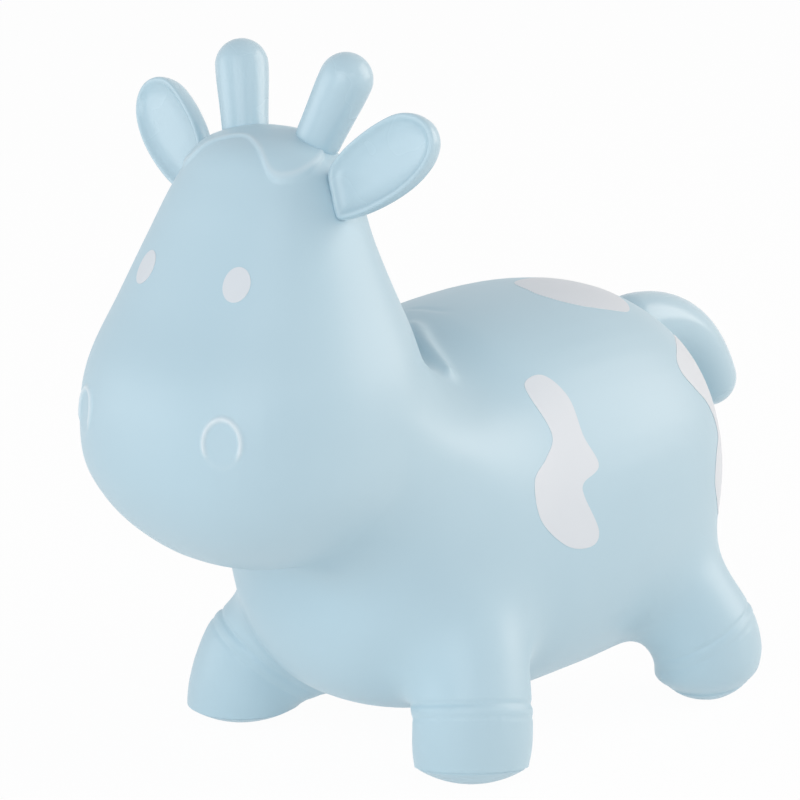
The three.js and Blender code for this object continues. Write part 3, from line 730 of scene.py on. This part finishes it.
def off_line(line, x, y):
    """Distance from a chain of points seen from above, and the share of the chain that is passed."""
    best = (1, 0)
    for i, (a, b) in enumerate(zip(line, line[1:])):
        run_x, run_y = b[0] - a[0], b[1] - a[1]
        t = min(max(((x - a[0]) * run_x + (y - a[1]) * run_y) / (run_x ** 2 + run_y ** 2), 0), 1)
        gap = math.hypot(a[0] + run_x * t - x, a[1] + run_y * t - y)
        best = min(best, (gap, (i + t) / (len(line) - 1)))
    return best


def along_line(line, width, fade):
    def weight(point):
        if not between(point.z, FOLD_HEIGHTS) or point.y > FOLD_END or point.y < FOLD_FRONT:
            return 0
        gap, share = off_line(line, abs(point.x) if line is NAPE_CREASE else point.x, point.y)
        return bell(gap / width) * ease((1 - share) / fade) * ease((share + START_EXTRA) / fade)
    return weight


def on_nape(point):
    return point.z > FINE_FROM and between(point.y, FINE_STRETCH)


divided(skin, lambda point: on_nape(point) and between(point.x, FINE_ACROSS), FINE_CUTS)
smoothed(skin, on_nape, FINE_SMOOTHING)
for line, width, fade, height in FOLDS:
    raised(skin, along_line(line, width, fade), height)
said("skin with nape:", skin)

# %% [markdown]
# ## Forelock and nostrils
# The moulding carries a shallow fringe on the poll, with two lobes over the forehead, and two nostrils:
# thin horseshoe ridges that fade out below. They could be separate pieces, but on the real skin they rise
# out of it without a seam, so the faces there are divided finer and pushed out along their normals by
# weights.

# %% Raise the moulded face
# Half of the fringe seen from above, as shares of the head's half width and of its depth behind the nose
FORELOCK = [(0, 0.41), (0.15, 0.385), (0.32, 0.352), (0.42, 0.38), (0.455, 0.44), (0.4, 0.52), (0.2, 0.57),
            (0, 0.58)]
LOCK_FROM, LOCK_HALF, LOCK_MARGIN = CHIN + 0.5 * HEAD_HEIGHT, 0.06, 0.008
LOCK_EDGE, LIP_DEPTH, LIP_WIDTH = 0.0022, 0.0011, 0.0012
LOCK_HEIGHT, LIP_HEIGHT, HOLLOW_HEIGHT, RIDGE_HEIGHT = 0.0012, 0.0003, -0.0005, 0.0016
# Millimetres
NOSTRIL_HALF_WIDTH, NOSTRIL_HALF_HEIGHT, NOSTRIL_LINE = 11.5, 14.5, 1.5
NOSTRIL_RADIUS = (NOSTRIL_HALF_WIDTH + NOSTRIL_HALF_HEIGHT) / 2
NOSTRIL_REACH, NOSTRIL_DEPTH = 21, 15
# How much the ridge fades below, from which sine of its angle, and over which stretch of it
GAP_FADE, GAP_START, GAP_STRETCH = 0.9, 0.25, 0.5
HOLLOW_SIZE = 1.1
FACE_CUTS, FACE_SMOOTHING = 3, 8


def closed_line(points, steps=96):
    """A smooth closed line through points of a plane."""
    count, line = len(points), []
    for i in range(steps):
        at = i * count / steps
        first = int(at)
        four = [Vector(points[(first + k) % count]) for k in (-1, 0, 1, 2)]
        line.append(curved(*four, at - first))
    return line


def depth_inside(line, x, y):
    """How far a point of the plane is inside a closed line, negative outside."""
    inside, nearest = False, 1e9
    for a, b in zip(line, line[1:] + line[:1]):
        if (a.y > y) != (b.y > y) and x < (b.x - a.x) * (y - a.y) / (b.y - a.y) + a.x:
            inside = not inside
        run = b - a
        t = min(max(((x - a.x) * run.x + (y - a.y) * run.y) / max(run.length_squared, 1e-12), 0), 1)
        nearest = min(nearest, math.hypot(a.x + run.x * t - x, a.y + run.y * t - y))
    return nearest if inside else -nearest


half_lock = [(HEAD_WIDTH / 2 * x, NOSE + HEAD_DEPTH * y) for x, y in FORELOCK]
lock_line = closed_line(half_lock + [(-x, y) for x, y in reversed(half_lock[1:-1])])
nostril_place, nostril_outward = place_on(HEAD, *NOSTRIL_AT)
nostril_frames = [standing(turn(nostril_place), turn(nostril_outward), DOWN).inverted()
                  for turn in (Vector, mirrored)]


def lock_depth(point):
    if point.z < LOCK_FROM or abs(point.x) > LOCK_HALF:
        return -1
    return depth_inside(lock_line, point.x, point.y)


def on_nostril(point):
    """Millimetres across and up from the middle of the nearer nostril."""
    x, y, z = (nostril_frames[point.x < 0] @ point) * 1000
    return (x, y) if abs(z) < NOSTRIL_DEPTH else (AWAY, AWAY)


def on_face(point):
    return lock_depth(point) > -LOCK_MARGIN or math.hypot(*on_nostril(point)) < NOSTRIL_REACH


def forelock(point):
    return ease(0.5 + lock_depth(point) / LOCK_EDGE)


def forelock_lip(point):
    return bell((lock_depth(point) - LIP_DEPTH) / LIP_WIDTH)


def nostril_ridge(point):
    x, y = on_nostril(point)
    x, y = x / NOSTRIL_HALF_WIDTH, y / NOSTRIL_HALF_HEIGHT
    off = math.hypot(x, y) - 1
    below = -math.sin(math.atan2(y, x))
    faded = GAP_FADE * ease((below - GAP_START) / GAP_STRETCH)
    return bell(off * NOSTRIL_RADIUS / NOSTRIL_LINE) * (1 - faded)


def nostril_hollow(point):
    x, y = on_nostril(point)
    return ease(HOLLOW_SIZE - math.hypot(x / NOSTRIL_HALF_WIDTH, y / NOSTRIL_HALF_HEIGHT))


divided(skin, on_face, FACE_CUTS)
smoothed(skin, on_face, FACE_SMOOTHING)
raised(skin, forelock, LOCK_HEIGHT)
raised(skin, forelock_lip, LIP_HEIGHT)
raised(skin, nostril_hollow, HOLLOW_HEIGHT)
raised(skin, nostril_ridge, RIDGE_HEIGHT)
said("skin with face:", skin)

# %% [markdown]
# ## Spun pieces
# Horns, the roots of the ears and the valve are round about an axis of their own. The quickest true way is
# the potter's: half an outline is drawn, it is spun about the axis, and the seam is merged. A piece is spun
# upright at the origin and then stood where it belongs, with its place applied to its mesh.

# %% Spin an outline
SPIN_STEPS, SPIN_WELD, CORNER_CUT = 64, 0.00002, 0.25


def stood(piece, place):
    select_only(piece)
    piece.matrix_world = place
    bpy.ops.object.transform_apply(location=True, rotation=True, scale=True)
    return piece


def spun(name, outline, place, steps=SPIN_STEPS):
    """Turn (radius, height) points, in millimetres and from the axis outwards, into a solid on a place."""
    piece = drawn(name, [Vector((radius, 0, height)) / 1000 for radius, height in outline])
    bpy.ops.mesh.spin(steps=steps, angle=2 * math.pi, center=(0, 0, 0), axis=(0, 0, 1))
    pick_all()
    bpy.ops.mesh.remove_doubles(threshold=SPIN_WELD)
    turn_outward()
    return stood(piece, place)


def rounded(outline):
    """The same outline with its corners cut off, its two ends kept."""
    far, cut = 1 - CORNER_CUT, [outline[0]]
    for (r, h), (s, k) in zip(outline, outline[1:]):
        cut += [(far * r + CORNER_CUT * s, far * h + CORNER_CUT * k)]
        cut += [(CORNER_CUT * r + far * s, CORNER_CUT * h + far * k)]
    return cut + [outline[-1]]


# %% [markdown]
# ## Horns
# The horns are the handles: blunt thumbs, a little fatter at the tip, that lean out and back. The left one
# is spun with its root inside the head, and its copy is mirrored to the right.

# %% Spin the horns
# Millimetres from the axis and above the skin, up to where the round tip begins
HORN_SIDE = [(0, -13), (11, -12), (14.2, -6), (14.5, 0), (14.9, 8), (15.6, 18), (16.3, 28)]
TIP_RADIUS, TIP_MIDDLE, TIP_STEP = 16.5, 36.5, 9
HORN_LIFT, HORN_OUT, HORN_BACK = 0.0042, math.radians(20), math.radians(16)


def to_right(piece, name):
    copy = copy_of(piece, name)
    copy.scale.x = -1
    bpy.ops.object.transform_apply(location=False, rotation=False, scale=True)
    in_mode("EDIT")
    turn_outward()
    return copy


place, outward = place_on(HEAD, *HORN_AT)
horn_root = place + outward * HORN_LIFT
horn_axis = Vector((math.tan(HORN_OUT), math.tan(HORN_BACK), 1)).normalized()
tip_angles = [math.radians(degrees) for degrees in range(0, 91, TIP_STEP)]
tip = [(TIP_RADIUS * math.cos(a), TIP_MIDDLE + TIP_RADIUS * math.sin(a)) for a in tip_angles]
horn_left = spun("horn_left_grip", rounded(HORN_SIDE + tip), standing(horn_root, horn_axis, FORWARD))
bpy.ops.object.shade_smooth()
horn_right = to_right(horn_left, "horn_right_grip")
said("horn:", horn_left)

# %% [markdown]
# ## Ears
# Each ear is a thick slab of a leaf with a crisp rim: its front is a shallow tray and its back is crowned.
# The leaf's outline is drawn with one point and closed into a face. That face is extruded backwards in
# rings that swell a little and then draw in, and the front face is drawn in and sunk, ring by ring, for the
# tray. A ball at the root is united with it, so that the ear stays in the skin when it flaps.

# %% Draw and extrude the ears
# The leaf seen from the front, in millimetres across and along it
EAR_LEAF = [
    (-9.6, -3.2), (4.2, -5.3), (16, -6), (19.6, -3.3), (21.7, 10.6), (21.6, 26), (19.6, 41.8), (15.5, 55.1),
    (9.5, 65.3), (1.4, 71.4), (-7.7, 72), (-15.1, 68), (-21, 60.9), (-24.3, 50.7), (-23.9, 36.8),
    (-21.6, 22.9), (-17.4, 9),
]
EAR_POINTS, EAR_MIDDLE, EAR_FRONT, FRONT_SLACK = 68, Vector((-1, 0, 32)) / 1000, -0.0075, 0.0001
# Steps backwards from the front, and the size of the leaf there
EAR_BACK = [(0.0006, 1.018), (0.002, 1.03), (0.006, 1.035), (0.0105, 1.0), (0.0138, 0.9), (0.016, 0.72),
            (0.0172, 0.45), (0.0175, 0.2)]
# Steps of the tray: how deep it is there, and the width and length of the leaf that is left
EAR_TRAY = [(-0.0002, 0.95, 0.97), (0.0002, 0.9, 0.94), (0.0014, 0.855, 0.91), (0.003, 0.78, 0.86),
            (0.0043, 0.6, 0.7), (0.0049, 0.32, 0.4)]
BALL_RADIUS, BALL_STEPS, BALL_SPIN, BALL_PLACE = 7.5, 12, 40, (0, 0.003, -0.0065)
EAR_LIFT, EAR_CREASE = 0.005, math.radians(50)
EAR_RISE, EAR_SWEEP, EAR_TURN = math.radians(27), math.radians(12), math.radians(9)


def ear_rings(rings):
    """Extrude what is selected ring by ring: how far back, and the width and length of the leaf there."""
    at, width, length = 0, 1, 1
    for back, new_width, new_length in rings:
        extrude((0, back - at, 0))
        resize((new_width / width, 1, new_length / length), EAR_MIDDLE)
        at, width, length = back, new_width, new_length


leaf = [Vector((x / 1000, EAR_FRONT, z / 1000)) for x, z in closed_line(EAR_LEAF, EAR_POINTS)]
ear_left = drawn("ear_left_leaf", leaf)
bpy.ops.mesh.edge_face_add()
ear_rings([(back, size, size) for back, size in EAR_BACK])
turn_outward()
in_mode("EDIT")
bpy.ops.mesh.select_mode(type="FACE")
bpy.ops.mesh.select_all(action="DESELECT")
in_mode("OBJECT")
for face in ear_left.data.polygons:
    face.select = face.center.y < EAR_FRONT + FRONT_SLACK
in_mode("EDIT")
ear_rings(EAR_TRAY)
in_mode("OBJECT")
modified(ear_left, "SUBSURF", levels=1, render_levels=1)
ball_angles = [math.pi * step / BALL_STEPS for step in range(BALL_STEPS + 1)]
ball_outline = [(BALL_RADIUS * math.sin(a), -BALL_RADIUS * math.cos(a)) for a in ball_angles]
ear_ball = spun("ear_ball", ball_outline, Matrix.Translation(BALL_PLACE), BALL_SPIN)
modified(ear_left, "BOOLEAN", operation="UNION", object=ear_ball, solver="EXACT")
bpy.data.objects.remove(ear_ball)
place, outward = place_on(HEAD, *EAR_AT)
ear_root = place + outward * EAR_LIFT
ear_axis = Vector((math.cos(EAR_RISE), math.sin(EAR_SWEEP), math.sin(EAR_RISE))).normalized()
ear_facing = Vector((0, -math.cos(EAR_TURN), math.sin(EAR_TURN)))
stood(ear_left, standing(ear_root, ear_axis, ear_facing))
bpy.ops.object.shade_smooth_by_angle(angle=EAR_CREASE)
ear_right = to_right(ear_left, "ear_right_leaf")
said("ear:", ear_left)

# %% [markdown]
# ## Tail
# The tail is a fat stub that leaves the top of the rump level and bends down. A ring is extruded along the
# bent line, leaning with it, and the rings of the first and last stretch grow and shrink as a dome does.

# %% Loft the tail
TAIL_RADIUS, TAIL_REACH, TAIL_DROP, TAIL_BEND, TAIL_LIFT = 0.02, 0.085, 0.053, 0.72, 0.001
# Share of the rings in the dome at each end
TAIL_CAP = 0.2
place, outward = place_on(TRUNK, *TAIL_AT)
tail_root = place + outward * TAIL_LIFT


def tail_ring(share):
    t = min(max((share - TAIL_CAP) / (1 - 2 * TAIL_CAP), 0), 1)
    y = 2 * t * (1 - t) * TAIL_REACH * TAIL_BEND + t * t * TAIL_REACH
    run_y = 2 * (1 - 2 * t) * TAIL_REACH * TAIL_BEND + 2 * t * TAIL_REACH
    run = Vector((0, run_y, -2 * t * TAIL_DROP)).normalized()
    dome = math.radians(90) * max((TAIL_CAP - share) / TAIL_CAP, (share - (1 - TAIL_CAP)) / TAIL_CAP, 0)
    onward = TAIL_RADIUS * math.sin(dome) * (1 if share > 0.5 else -1)
    middle = tail_root + Vector((0, y, -t * t * TAIL_DROP)) + run * onward
    return middle, round_half(TAIL_RADIUS * math.cos(dome)), (math.atan2(run.z, run.y), 0)


tail = lofted("tail_stub", ROUND, ALONG_Y, [tail_ring(s) for s in SHARES])
bpy.ops.object.shade_smooth()
said("tail:", tail)

# %% [markdown]
# ## Painted marks
# The eyes and the coat's patches are thin white paint with a crisp edge. Colouring points of the skin would
# blur that edge, so each mark is a film of its own: a copy of the skin is thickened by a hair, and a prism
# of the mark's outline keeps only what is inside it.

# %% Cut films of paint
FILM_THICKNESS, FILM_OFFSET, PRISM_LENGTH, CREASE = 0.001, -0.4, 0.3, math.radians(40)


def film(name, line, plane, wanted):
    layer = part_of(skin, name, wanted)
    modified(layer, "SOLIDIFY", thickness=FILM_THICKNESS, offset=FILM_OFFSET, use_even_offset=True)
    bpy.ops.mesh.primitive_circle_add(vertices=len(line), fill_type="NGON")
    prism = bpy.context.object
    for point, flat in zip(prism.data.vertices, line):
        point.co = (flat[0], flat[1], 0)
    edit_points(prism, lambda point: True)
    extrude((0, 0, PRISM_LENGTH))
    turn_outward()
    stood(prism, plane)
    modified(layer, "BOOLEAN", operation="INTERSECT", object=prism, solver="EXACT")
    bpy.data.objects.remove(prism)
    select_only(layer)
    bpy.ops.object.shade_smooth_by_angle(angle=CREASE)
    said(name, layer)
    return layer


# %% [markdown]
# ## Patches and eyes
# The patches on the sides are drawn as seen from the side, in shares of the trunk's length and height, and
# the one on the back as seen from above. The eyes are ovals that look along the skin's outward direction.

# %% Paint the patches and the eyes
FLANK_PATCH = [
    (0.354, 0.856), (0.396, 0.864), (0.421, 0.814), (0.421, 0.727), (0.441, 0.652), (0.399, 0.62),
    (0.399, 0.583), (0.43, 0.496), (0.413, 0.462), (0.354, 0.477), (0.292, 0.557), (0.286, 0.648),
    (0.325, 0.693), (0.354, 0.739), (0.345, 0.822),
]
RUMP_PATCH = [
    (0.771, 0.835), (0.748, 0.802), (0.776, 0.753), (0.822, 0.696), (0.846, 0.624), (0.815, 0.574),
    (0.805, 0.514), (0.826, 0.458), (0.864, 0.4), (0.925, 0.43), (0.955, 0.55), (0.948, 0.68), (0.91, 0.78),
    (0.85, 0.85),
]
BACK_PATCH = [
    (-0.04, 0.605), (0.15, 0.572), (0.28, 0.576), (0.4, 0.612), (0.469, 0.683), (0.466, 0.724),
    (0.356, 0.759), (0.15, 0.775), (-0.08, 0.72),
]
PATCH_MARGIN, PATCH_ASIDE = 0.01, 0.02
BACK_FROM, BACK_ACROSS, BACK_STRETCH = 0.2, (-0.03, 0.08), (CHEST + 0.18, CHEST + 0.3)
EYE_HALF_WIDTH, EYE_HALF_HEIGHT, EYE_REACH, EYE_POINTS = 0.009, 0.011, 0.02, 64
FROM_LEFT = Matrix(((0, 0, 1, 0), (1, 0, 0, 0), (0, 1, 0, 0), (0, 0, 0, 1)))
FROM_RIGHT = Matrix(((0, 0, -1, 0), (1, 0, 0, 0), (0, 1, 0, 0), (0, 0, 0, 1)))
FROM_BELOW = Matrix.Translation((0, 0, 0.15))


def side_line(rows):
    return closed_line([(CHEST + TRUNK_LENGTH * y, BELLY + (SEAT - BELLY) * z) for y, z in rows])


def on_side(line, side):
    low = Vector([min(p[i] for p in line) - PATCH_MARGIN for i in (0, 1)])
    high = Vector([max(p[i] for p in line) + PATCH_MARGIN for i in (0, 1)])
    return lambda p: p.x * side > PATCH_ASIDE and low.x < p.y < high.x and low.y < p.z < high.y


def on_back(point):
    return point.z > BACK_FROM and between(point.x, BACK_ACROSS) and between(point.y, BACK_STRETCH)


flank_line, rump_line = side_line(FLANK_PATCH), side_line(RUMP_PATCH)
back_line = closed_line([(TRUNK_WIDTH / 2 * x, CHEST + TRUNK_LENGTH * y) for x, y in BACK_PATCH])
flank_left = film("flank_paint_left", flank_line, FROM_LEFT, on_side(flank_line, 1))
flank_right = film("flank_paint_right", flank_line, FROM_RIGHT, on_side(flank_line, -1))
rump = film("rump_paint", rump_line, FROM_LEFT, on_side(rump_line, 1))
back = film("back_paint", back_line, FROM_BELOW, on_back)
eye_angles = [2 * math.pi * i / EYE_POINTS for i in range(EYE_POINTS)]
oval = [(EYE_HALF_WIDTH * math.cos(a), EYE_HALF_HEIGHT * math.sin(a)) for a in eye_angles]
eyes = []
for turn, label in ((Vector, "left"), (mirrored, "right")):
    place, outward = (turn(vector) for vector in place_on(HEAD, *EYE_AT))
    plane = standing(place - outward * EYE_REACH, outward, DOWN)
    eyes.append(film("eye_paint_" + label, oval, plane, lambda point: (point - place).length < EYE_REACH))

# %% [markdown]
# ## Valve
# Air goes in through a valve low on the rump, under the tail: a flanged seat in the skin and a plug with a
# round head that pulls out. Both are spun about the valve's axis. The plug's head has a soft edge and a
# dimple to get a nail under.

# %% Spin the valve
# Millimetres from the axis and above the skin
SEAT_OUTLINE = [(5, -12), (8, -12), (8, -0.6), (13, -0.6), (13, 0.9), (12.7, 1.5), (12, 1.9), (10.5, 2),
                (9.6, 1.9), (9.4, 1.6), (9.2, 1.6), (5.4, 1.6), (5, 1.2), (5, -12)]
PLUG_OUTLINE = [(0, -8.7), (3.6, -8.7), (3.9, -8.3), (4.2, -6.5), (4.5, -4.3), (4.2, -3.2), (4.5, -1),
                (4.3, 0.5), (4.3, 2.3), (8.4, 2.3), (8.9, 2.5), (9, 3), (9, 3.5), (8.7, 4.1), (8, 4.4),
                (5, 4.5), (4, 4.2), (2.5, 3.9), (0, 3.8)]

valve_place = standing(*place_on(TRUNK, *VALVE_AT), DOWN)
valve_seat = spun("valve_flange", SEAT_OUTLINE, valve_place)
bpy.ops.object.shade_smooth_by_angle(angle=CREASE)
valve_plug = spun("valve_stopper", PLUG_OUTLINE, valve_place)
bpy.ops.object.shade_smooth_by_angle(angle=CREASE)
said("seat:", valve_seat)
said("plug:", valve_plug)

# %% [markdown]
# ## Vinyl
# Soft vinyl is satin: it has wide, quiet highlights, a very fine skin from the mould, and a colour that is
# never quite even. A group mixes these three from noise on Object coordinates, so that each material can
# take them at its own scale: a mask of slow mottling, a roughness that wanders a little, and a height for
# the bump.

# %% Build the moulded-skin group
MOTTLE_DETAIL, GRAIN_DETAIL, ROUGHNESS_WANDER, GRAIN_SHARE = 3, 2, 0.16, 0.25

moulded = bpy.data.node_groups.new("moulded_skin", "ShaderNodeTree")
for way, labels in (("INPUT", ("Mottle scale", "Grain scale", "Gloss")),
                    ("OUTPUT", ("Mottle", "Roughness", "Height"))):
    for label in labels:
        moulded.interface.new_socket(label, in_out=way, socket_type="NodeSocketFloat")
given, put = moulded.nodes.new("NodeGroupInput"), moulded.nodes.new("NodeGroupOutput")
coordinates = moulded.nodes.new("ShaderNodeTexCoord")


def fed(tree, socket, value):
    """Feed a socket with another node's output or with a plain value."""
    if isinstance(value, bpy.types.NodeSocket):
        tree.links.new(value, socket)
    else:
        socket.default_value = value


def noise(scale, detail):
    node = moulded.nodes.new("ShaderNodeTexNoise")
    for label, value in (("Vector", coordinates.outputs["Object"]), ("Scale", scale), ("Detail", detail)):
        fed(moulded, node.inputs[label], value)
    return node.outputs["Fac"]


def counted(tree, work, a, b):
    step = tree.nodes.new("ShaderNodeMath")
    step.operation = work
    fed(tree, step.inputs[0], a)
    fed(tree, step.inputs[1], b)
    return step.outputs[0]


mottle = noise(given.outputs["Mottle scale"], MOTTLE_DETAIL)
grain = noise(given.outputs["Grain scale"], GRAIN_DETAIL)
wander = counted(moulded, "MULTIPLY", counted(moulded, "SUBTRACT", mottle, 0.5), ROUGHNESS_WANDER)
height = counted(moulded, "ADD", counted(moulded, "MULTIPLY", grain, GRAIN_SHARE), mottle)
fed(moulded, put.inputs["Mottle"], mottle)
fed(moulded, put.inputs["Roughness"], counted(moulded, "ADD", given.outputs["Gloss"], wander))
fed(moulded, put.inputs["Height"], height)
print("group:", moulded.name, len(moulded.nodes), "nodes")

# %% [markdown]
# ## Finishes
# The blue is the vinyl's own colour all through. It is satin on the big skin, and glossier on the horns,
# ears and tail. The white is paint on top of it, a little duller and a shade cooler than paper. The valve
# is the same vinyl, a little paler and glossier where fingers rub it. Along the thin crests of the nostrils
# and of the forelock's edge a pale colour is mixed in: a painted highlight.

# %% Mix the finishes
BLUE = (0.515, 0.69, 0.77), (0.485, 0.66, 0.745)
WHITE = (0.74, 0.785, 0.82), (0.71, 0.755, 0.79)
VALVE_BLUE = (0.58, 0.74, 0.82), (0.55, 0.71, 0.79)
# The pale colour mixed in on the thin crests is a painted highlight
CREST_HIGHLIGHT_COLOUR, VINYL_IOR, BUMP_DISTANCE = (0.78, 0.87, 0.91, 1), 1.5, 0.0006


def colour_mix(tree, share, none, full):
    node = tree.nodes.new("ShaderNodeMix")
    node.data_type = "RGBA"
    for label, value in (("Factor", share), ("A", none), ("B", full)):
        fed(tree, node.inputs[label], value)
    return node.outputs["Result"]


def finish(name, light, dark, mottle_scale, grain_scale, gloss, relief):
    material = bpy.data.materials.new(name)
    material.use_nodes = True
    tree = material.node_tree
    shader = tree.nodes["Principled BSDF"]
    moulding = tree.nodes.new("ShaderNodeGroup")
    moulding.node_tree = moulded
    for label, value in (("Mottle scale", mottle_scale), ("Grain scale", grain_scale), ("Gloss", gloss)):
        fed(tree, moulding.inputs[label], value)
    # This attribute carries a painted highlight on the thin crests, mixed into the base colour below
    crest_highlight = tree.nodes.new("ShaderNodeAttribute")
    crest_highlight.attribute_name = "crest_highlight"
    bump = tree.nodes.new("ShaderNodeBump")
    for label, value in (("Strength", relief), ("Distance", BUMP_DISTANCE),
                         ("Height", moulding.outputs["Height"])):
        fed(tree, bump.inputs[label], value)
    uneven = colour_mix(tree, moulding.outputs["Mottle"], (*dark, 1), (*light, 1))
    for label, value in (("Base Color", colour_mix(tree, crest_highlight.outputs["Fac"], uneven, CREST_HIGHLIGHT_COLOUR)),
                         ("Roughness", moulding.outputs["Roughness"]), ("Normal", bump.outputs["Normal"]),
                         ("IOR", VINYL_IOR)):
        fed(tree, shader.inputs[label], value)
    return material


# Scales of the mottling and of the grain, roughness, and strength of the relief
blue = finish("blue_vinyl_satin", *BLUE, 12, 900, 0.42, 0.12)
blue_gloss = finish("blue_vinyl_gloss", *BLUE, 12, 900, 0.27, 0.03)
white = finish("white_paint_satin", *WHITE, 20, 1100, 0.5, 0.08)
valve_blue = finish("valve_vinyl_satin", *VALVE_BLUE, 60, 1500, 0.33, 0.1)
print("finishes:", [material.name for material in (blue, blue_gloss, white, valve_blue)])

# %% [markdown]
# ## Painted highlight on the crests
# The thin raised lines of the nostrils and of the forelock's edge shine as a bright line, and that highlight
# is painted: the skin's points keep how far they are on such a line, and the material reads it.

# %% Mark the painted highlight on the thin crests
# Strength of the painted highlight on the nostril ridges and the forelock's lip, and from what share a point
# counts
NOSTRIL_HIGHLIGHT, FORELOCK_HIGHLIGHT, HIGHLIGHT_COUNTED = 0.8, 0.3, 0.1

crest_highlight = skin.data.attributes.new("crest_highlight", "FLOAT", "POINT")
for point, kept in zip(skin.data.vertices, crest_highlight.data):
    kept.value = max(NOSTRIL_HIGHLIGHT * nostril_ridge(point.co), FORELOCK_HIGHLIGHT * forelock_lip(point.co))
print("crest points:", sum(kept.value > HIGHLIGHT_COUNTED for kept in crest_highlight.data))

# %% [markdown]
# ## Dressing the pieces
# Each new piece gets its finish, and the CAD nodes that it stands for are hidden. On the real calf the legs
# give way when it bounces, and horns, ears and tail bend at their roots; here skin, horns, ears and tail are
# not tied to the frame's bodies. Paint and the valve's seat ride on the trunk, and the plug slides on its
# own.

# %% Dress the frame
def dressed(piece, material, slot, *nodes):
    piece.data.materials.clear()
    piece.data.materials.append(material)
    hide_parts(*nodes)


dressed(skin, blue, "blue_vinyl", "trunk_shell", "head_shell", "forelock", "nostril_rim_left",
        "nostril_rim_right", *("leg_" + name for name in FEET), *("hoof_" + name for name in FEET))
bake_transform(skin)
for piece, body, root, axis in (
        (horn_left, "horn_left", horn_root, horn_axis),
        (horn_right, "horn_right", mirrored(horn_root), mirrored(horn_axis)),
        (ear_left, "ear_left", ear_root, ear_axis),
        (ear_right, "ear_right", mirrored(ear_root), mirrored(ear_axis))):
    dressed(piece, blue_gloss, "blue_vinyl", body)
    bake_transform(piece)
dressed(tail, blue_gloss, "blue_vinyl", "tail")
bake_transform(tail)
for piece, node in ((flank_left, "flank_patch_left"), (flank_right, "flank_patch_right"),
                    (rump, "rump_patch"), (back, "back_patch"), (eyes[0], "eye_left"),
                    (eyes[1], "eye_right")):
    dressed(piece, white, "white_paint", node)
    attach(piece, "trunk")
dressed(valve_seat, valve_blue, "valve_vinyl", "valve_seat")
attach(valve_seat, "trunk")
dressed(valve_plug, valve_blue, "valve_vinyl", "valve_plug")
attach(valve_plug, "valve_plug")

# %% [markdown]
# ## Floor and room
# The calf stands on a white floor, lit as the calf is, which throws light back under the belly and keeps
# the shadow of the feet. A share of it glows by itself, to soften that shadow. For the camera most of it is
# replaced by pure white, which makes the background of a catalogue picture without any more light on the
# calf. The room round it gives a dim, slightly cool light, and is white where it is seen.

# %% Lay the floor and set the room
FLOOR_SIZE, FLOOR_CUTS, PAPER = 8, 3, (0.9, 0.9, 0.9, 1)
FLOOR_GLOW, FLOOR_SEEN = 0.27, 0.695
ROOM_LIGHT, ROOM_TINT, PURE_WHITE = 0.46, (0.95, 0.98, 1.04, 1), (1, 1, 1, 1)


def seen_in(tree):
    """1 where a ray shows the background to the camera, also in a mirror or through glass, else 0."""
    path = tree.nodes.new("ShaderNodeLightPath")
    seen = counted(tree, "MAXIMUM", path.outputs["Is Camera Ray"], path.outputs["Is Glossy Ray"])
    return counted(tree, "MAXIMUM", seen, path.outputs["Is Transmission Ray"])


def level(tree, seen, extra, base):
    return counted(tree, "ADD", counted(tree, "MULTIPLY", seen, extra), base)


select_none()
bpy.ops.mesh.primitive_plane_add(size=FLOOR_SIZE)
floor = named("studio_floor")
in_mode("EDIT")
bpy.ops.mesh.subdivide(number_cuts=FLOOR_CUTS)
in_mode("OBJECT")
white_floor = bpy.data.materials.new("white_floor")
white_floor.use_nodes = True
tree = white_floor.node_tree
tree.nodes.clear()
paper = tree.nodes.new("ShaderNodeBsdfDiffuse")
paper.inputs["Color"].default_value = PAPER
plain = tree.nodes.new("ShaderNodeEmission")
mixed = tree.nodes.new("ShaderNodeMixShader")
out = tree.nodes.new("ShaderNodeOutputMaterial")
share = level(tree, seen_in(tree), FLOOR_SEEN, FLOOR_GLOW)
for socket, value in zip(mixed.inputs, (share, paper.outputs[0], plain.outputs[0])):
    tree.links.new(value, socket)
tree.links.new(mixed.outputs[0], out.inputs["Surface"])
floor.data.materials.append(white_floor)

world = bpy.data.worlds.new("studio")
bpy.context.scene.world = world
world.use_nodes = True
tree = world.node_tree
room = tree.nodes["Background"]
seen = seen_in(tree)
tree.links.new(colour_mix(tree, seen, ROOM_TINT, PURE_WHITE), room.inputs["Color"])
tree.links.new(level(tree, seen, 1 - ROOM_LIGHT, ROOM_LIGHT), room.inputs["Strength"])
print("floor:", FLOOR_SIZE, "m wide, room light", ROOM_LIGHT)

# %% [markdown]
# ## Lamps
# Four lamps light the calf, each turned towards the point that the camera looks at: a wide one in front, a
# wide warm one at the left rear that draws the highlight on the flank, a wide fill on the right, and a
# small one for the glints on horns and ears.

# %% Set the lamps
# Place, size, watts and tint
LAMPS = {
    "key_front_left": ((1.4, -3.5, 1.7), 2.8, 50, (1, 1, 1)),
    "side_left_rear": ((2.7, 3.5, 2.1), 3.6, 118, (1, 0.88, 0.8)),
    "fill_right": ((-2.8, -2.9, 0.3), 2.8, 44, (1, 1, 1)),
    "glint": ((3.9, -1.4, 2.2), 0.7, 7, (1, 1, 1)),
}

for name, (place, size, watts, tint) in LAMPS.items():
    turn = (Vector(place) - looked_at).to_track_quat("Z", "Y").to_euler()
    bpy.ops.object.light_add(type="AREA", location=place, rotation=turn)
    light = bpy.context.object
    light.name = name
    light.data.size, light.data.energy, light.data.color = size, watts, tint
bpy.context.scene.view_settings.view_transform = "Standard"
print("studio:", len(LAMPS), "lamps")
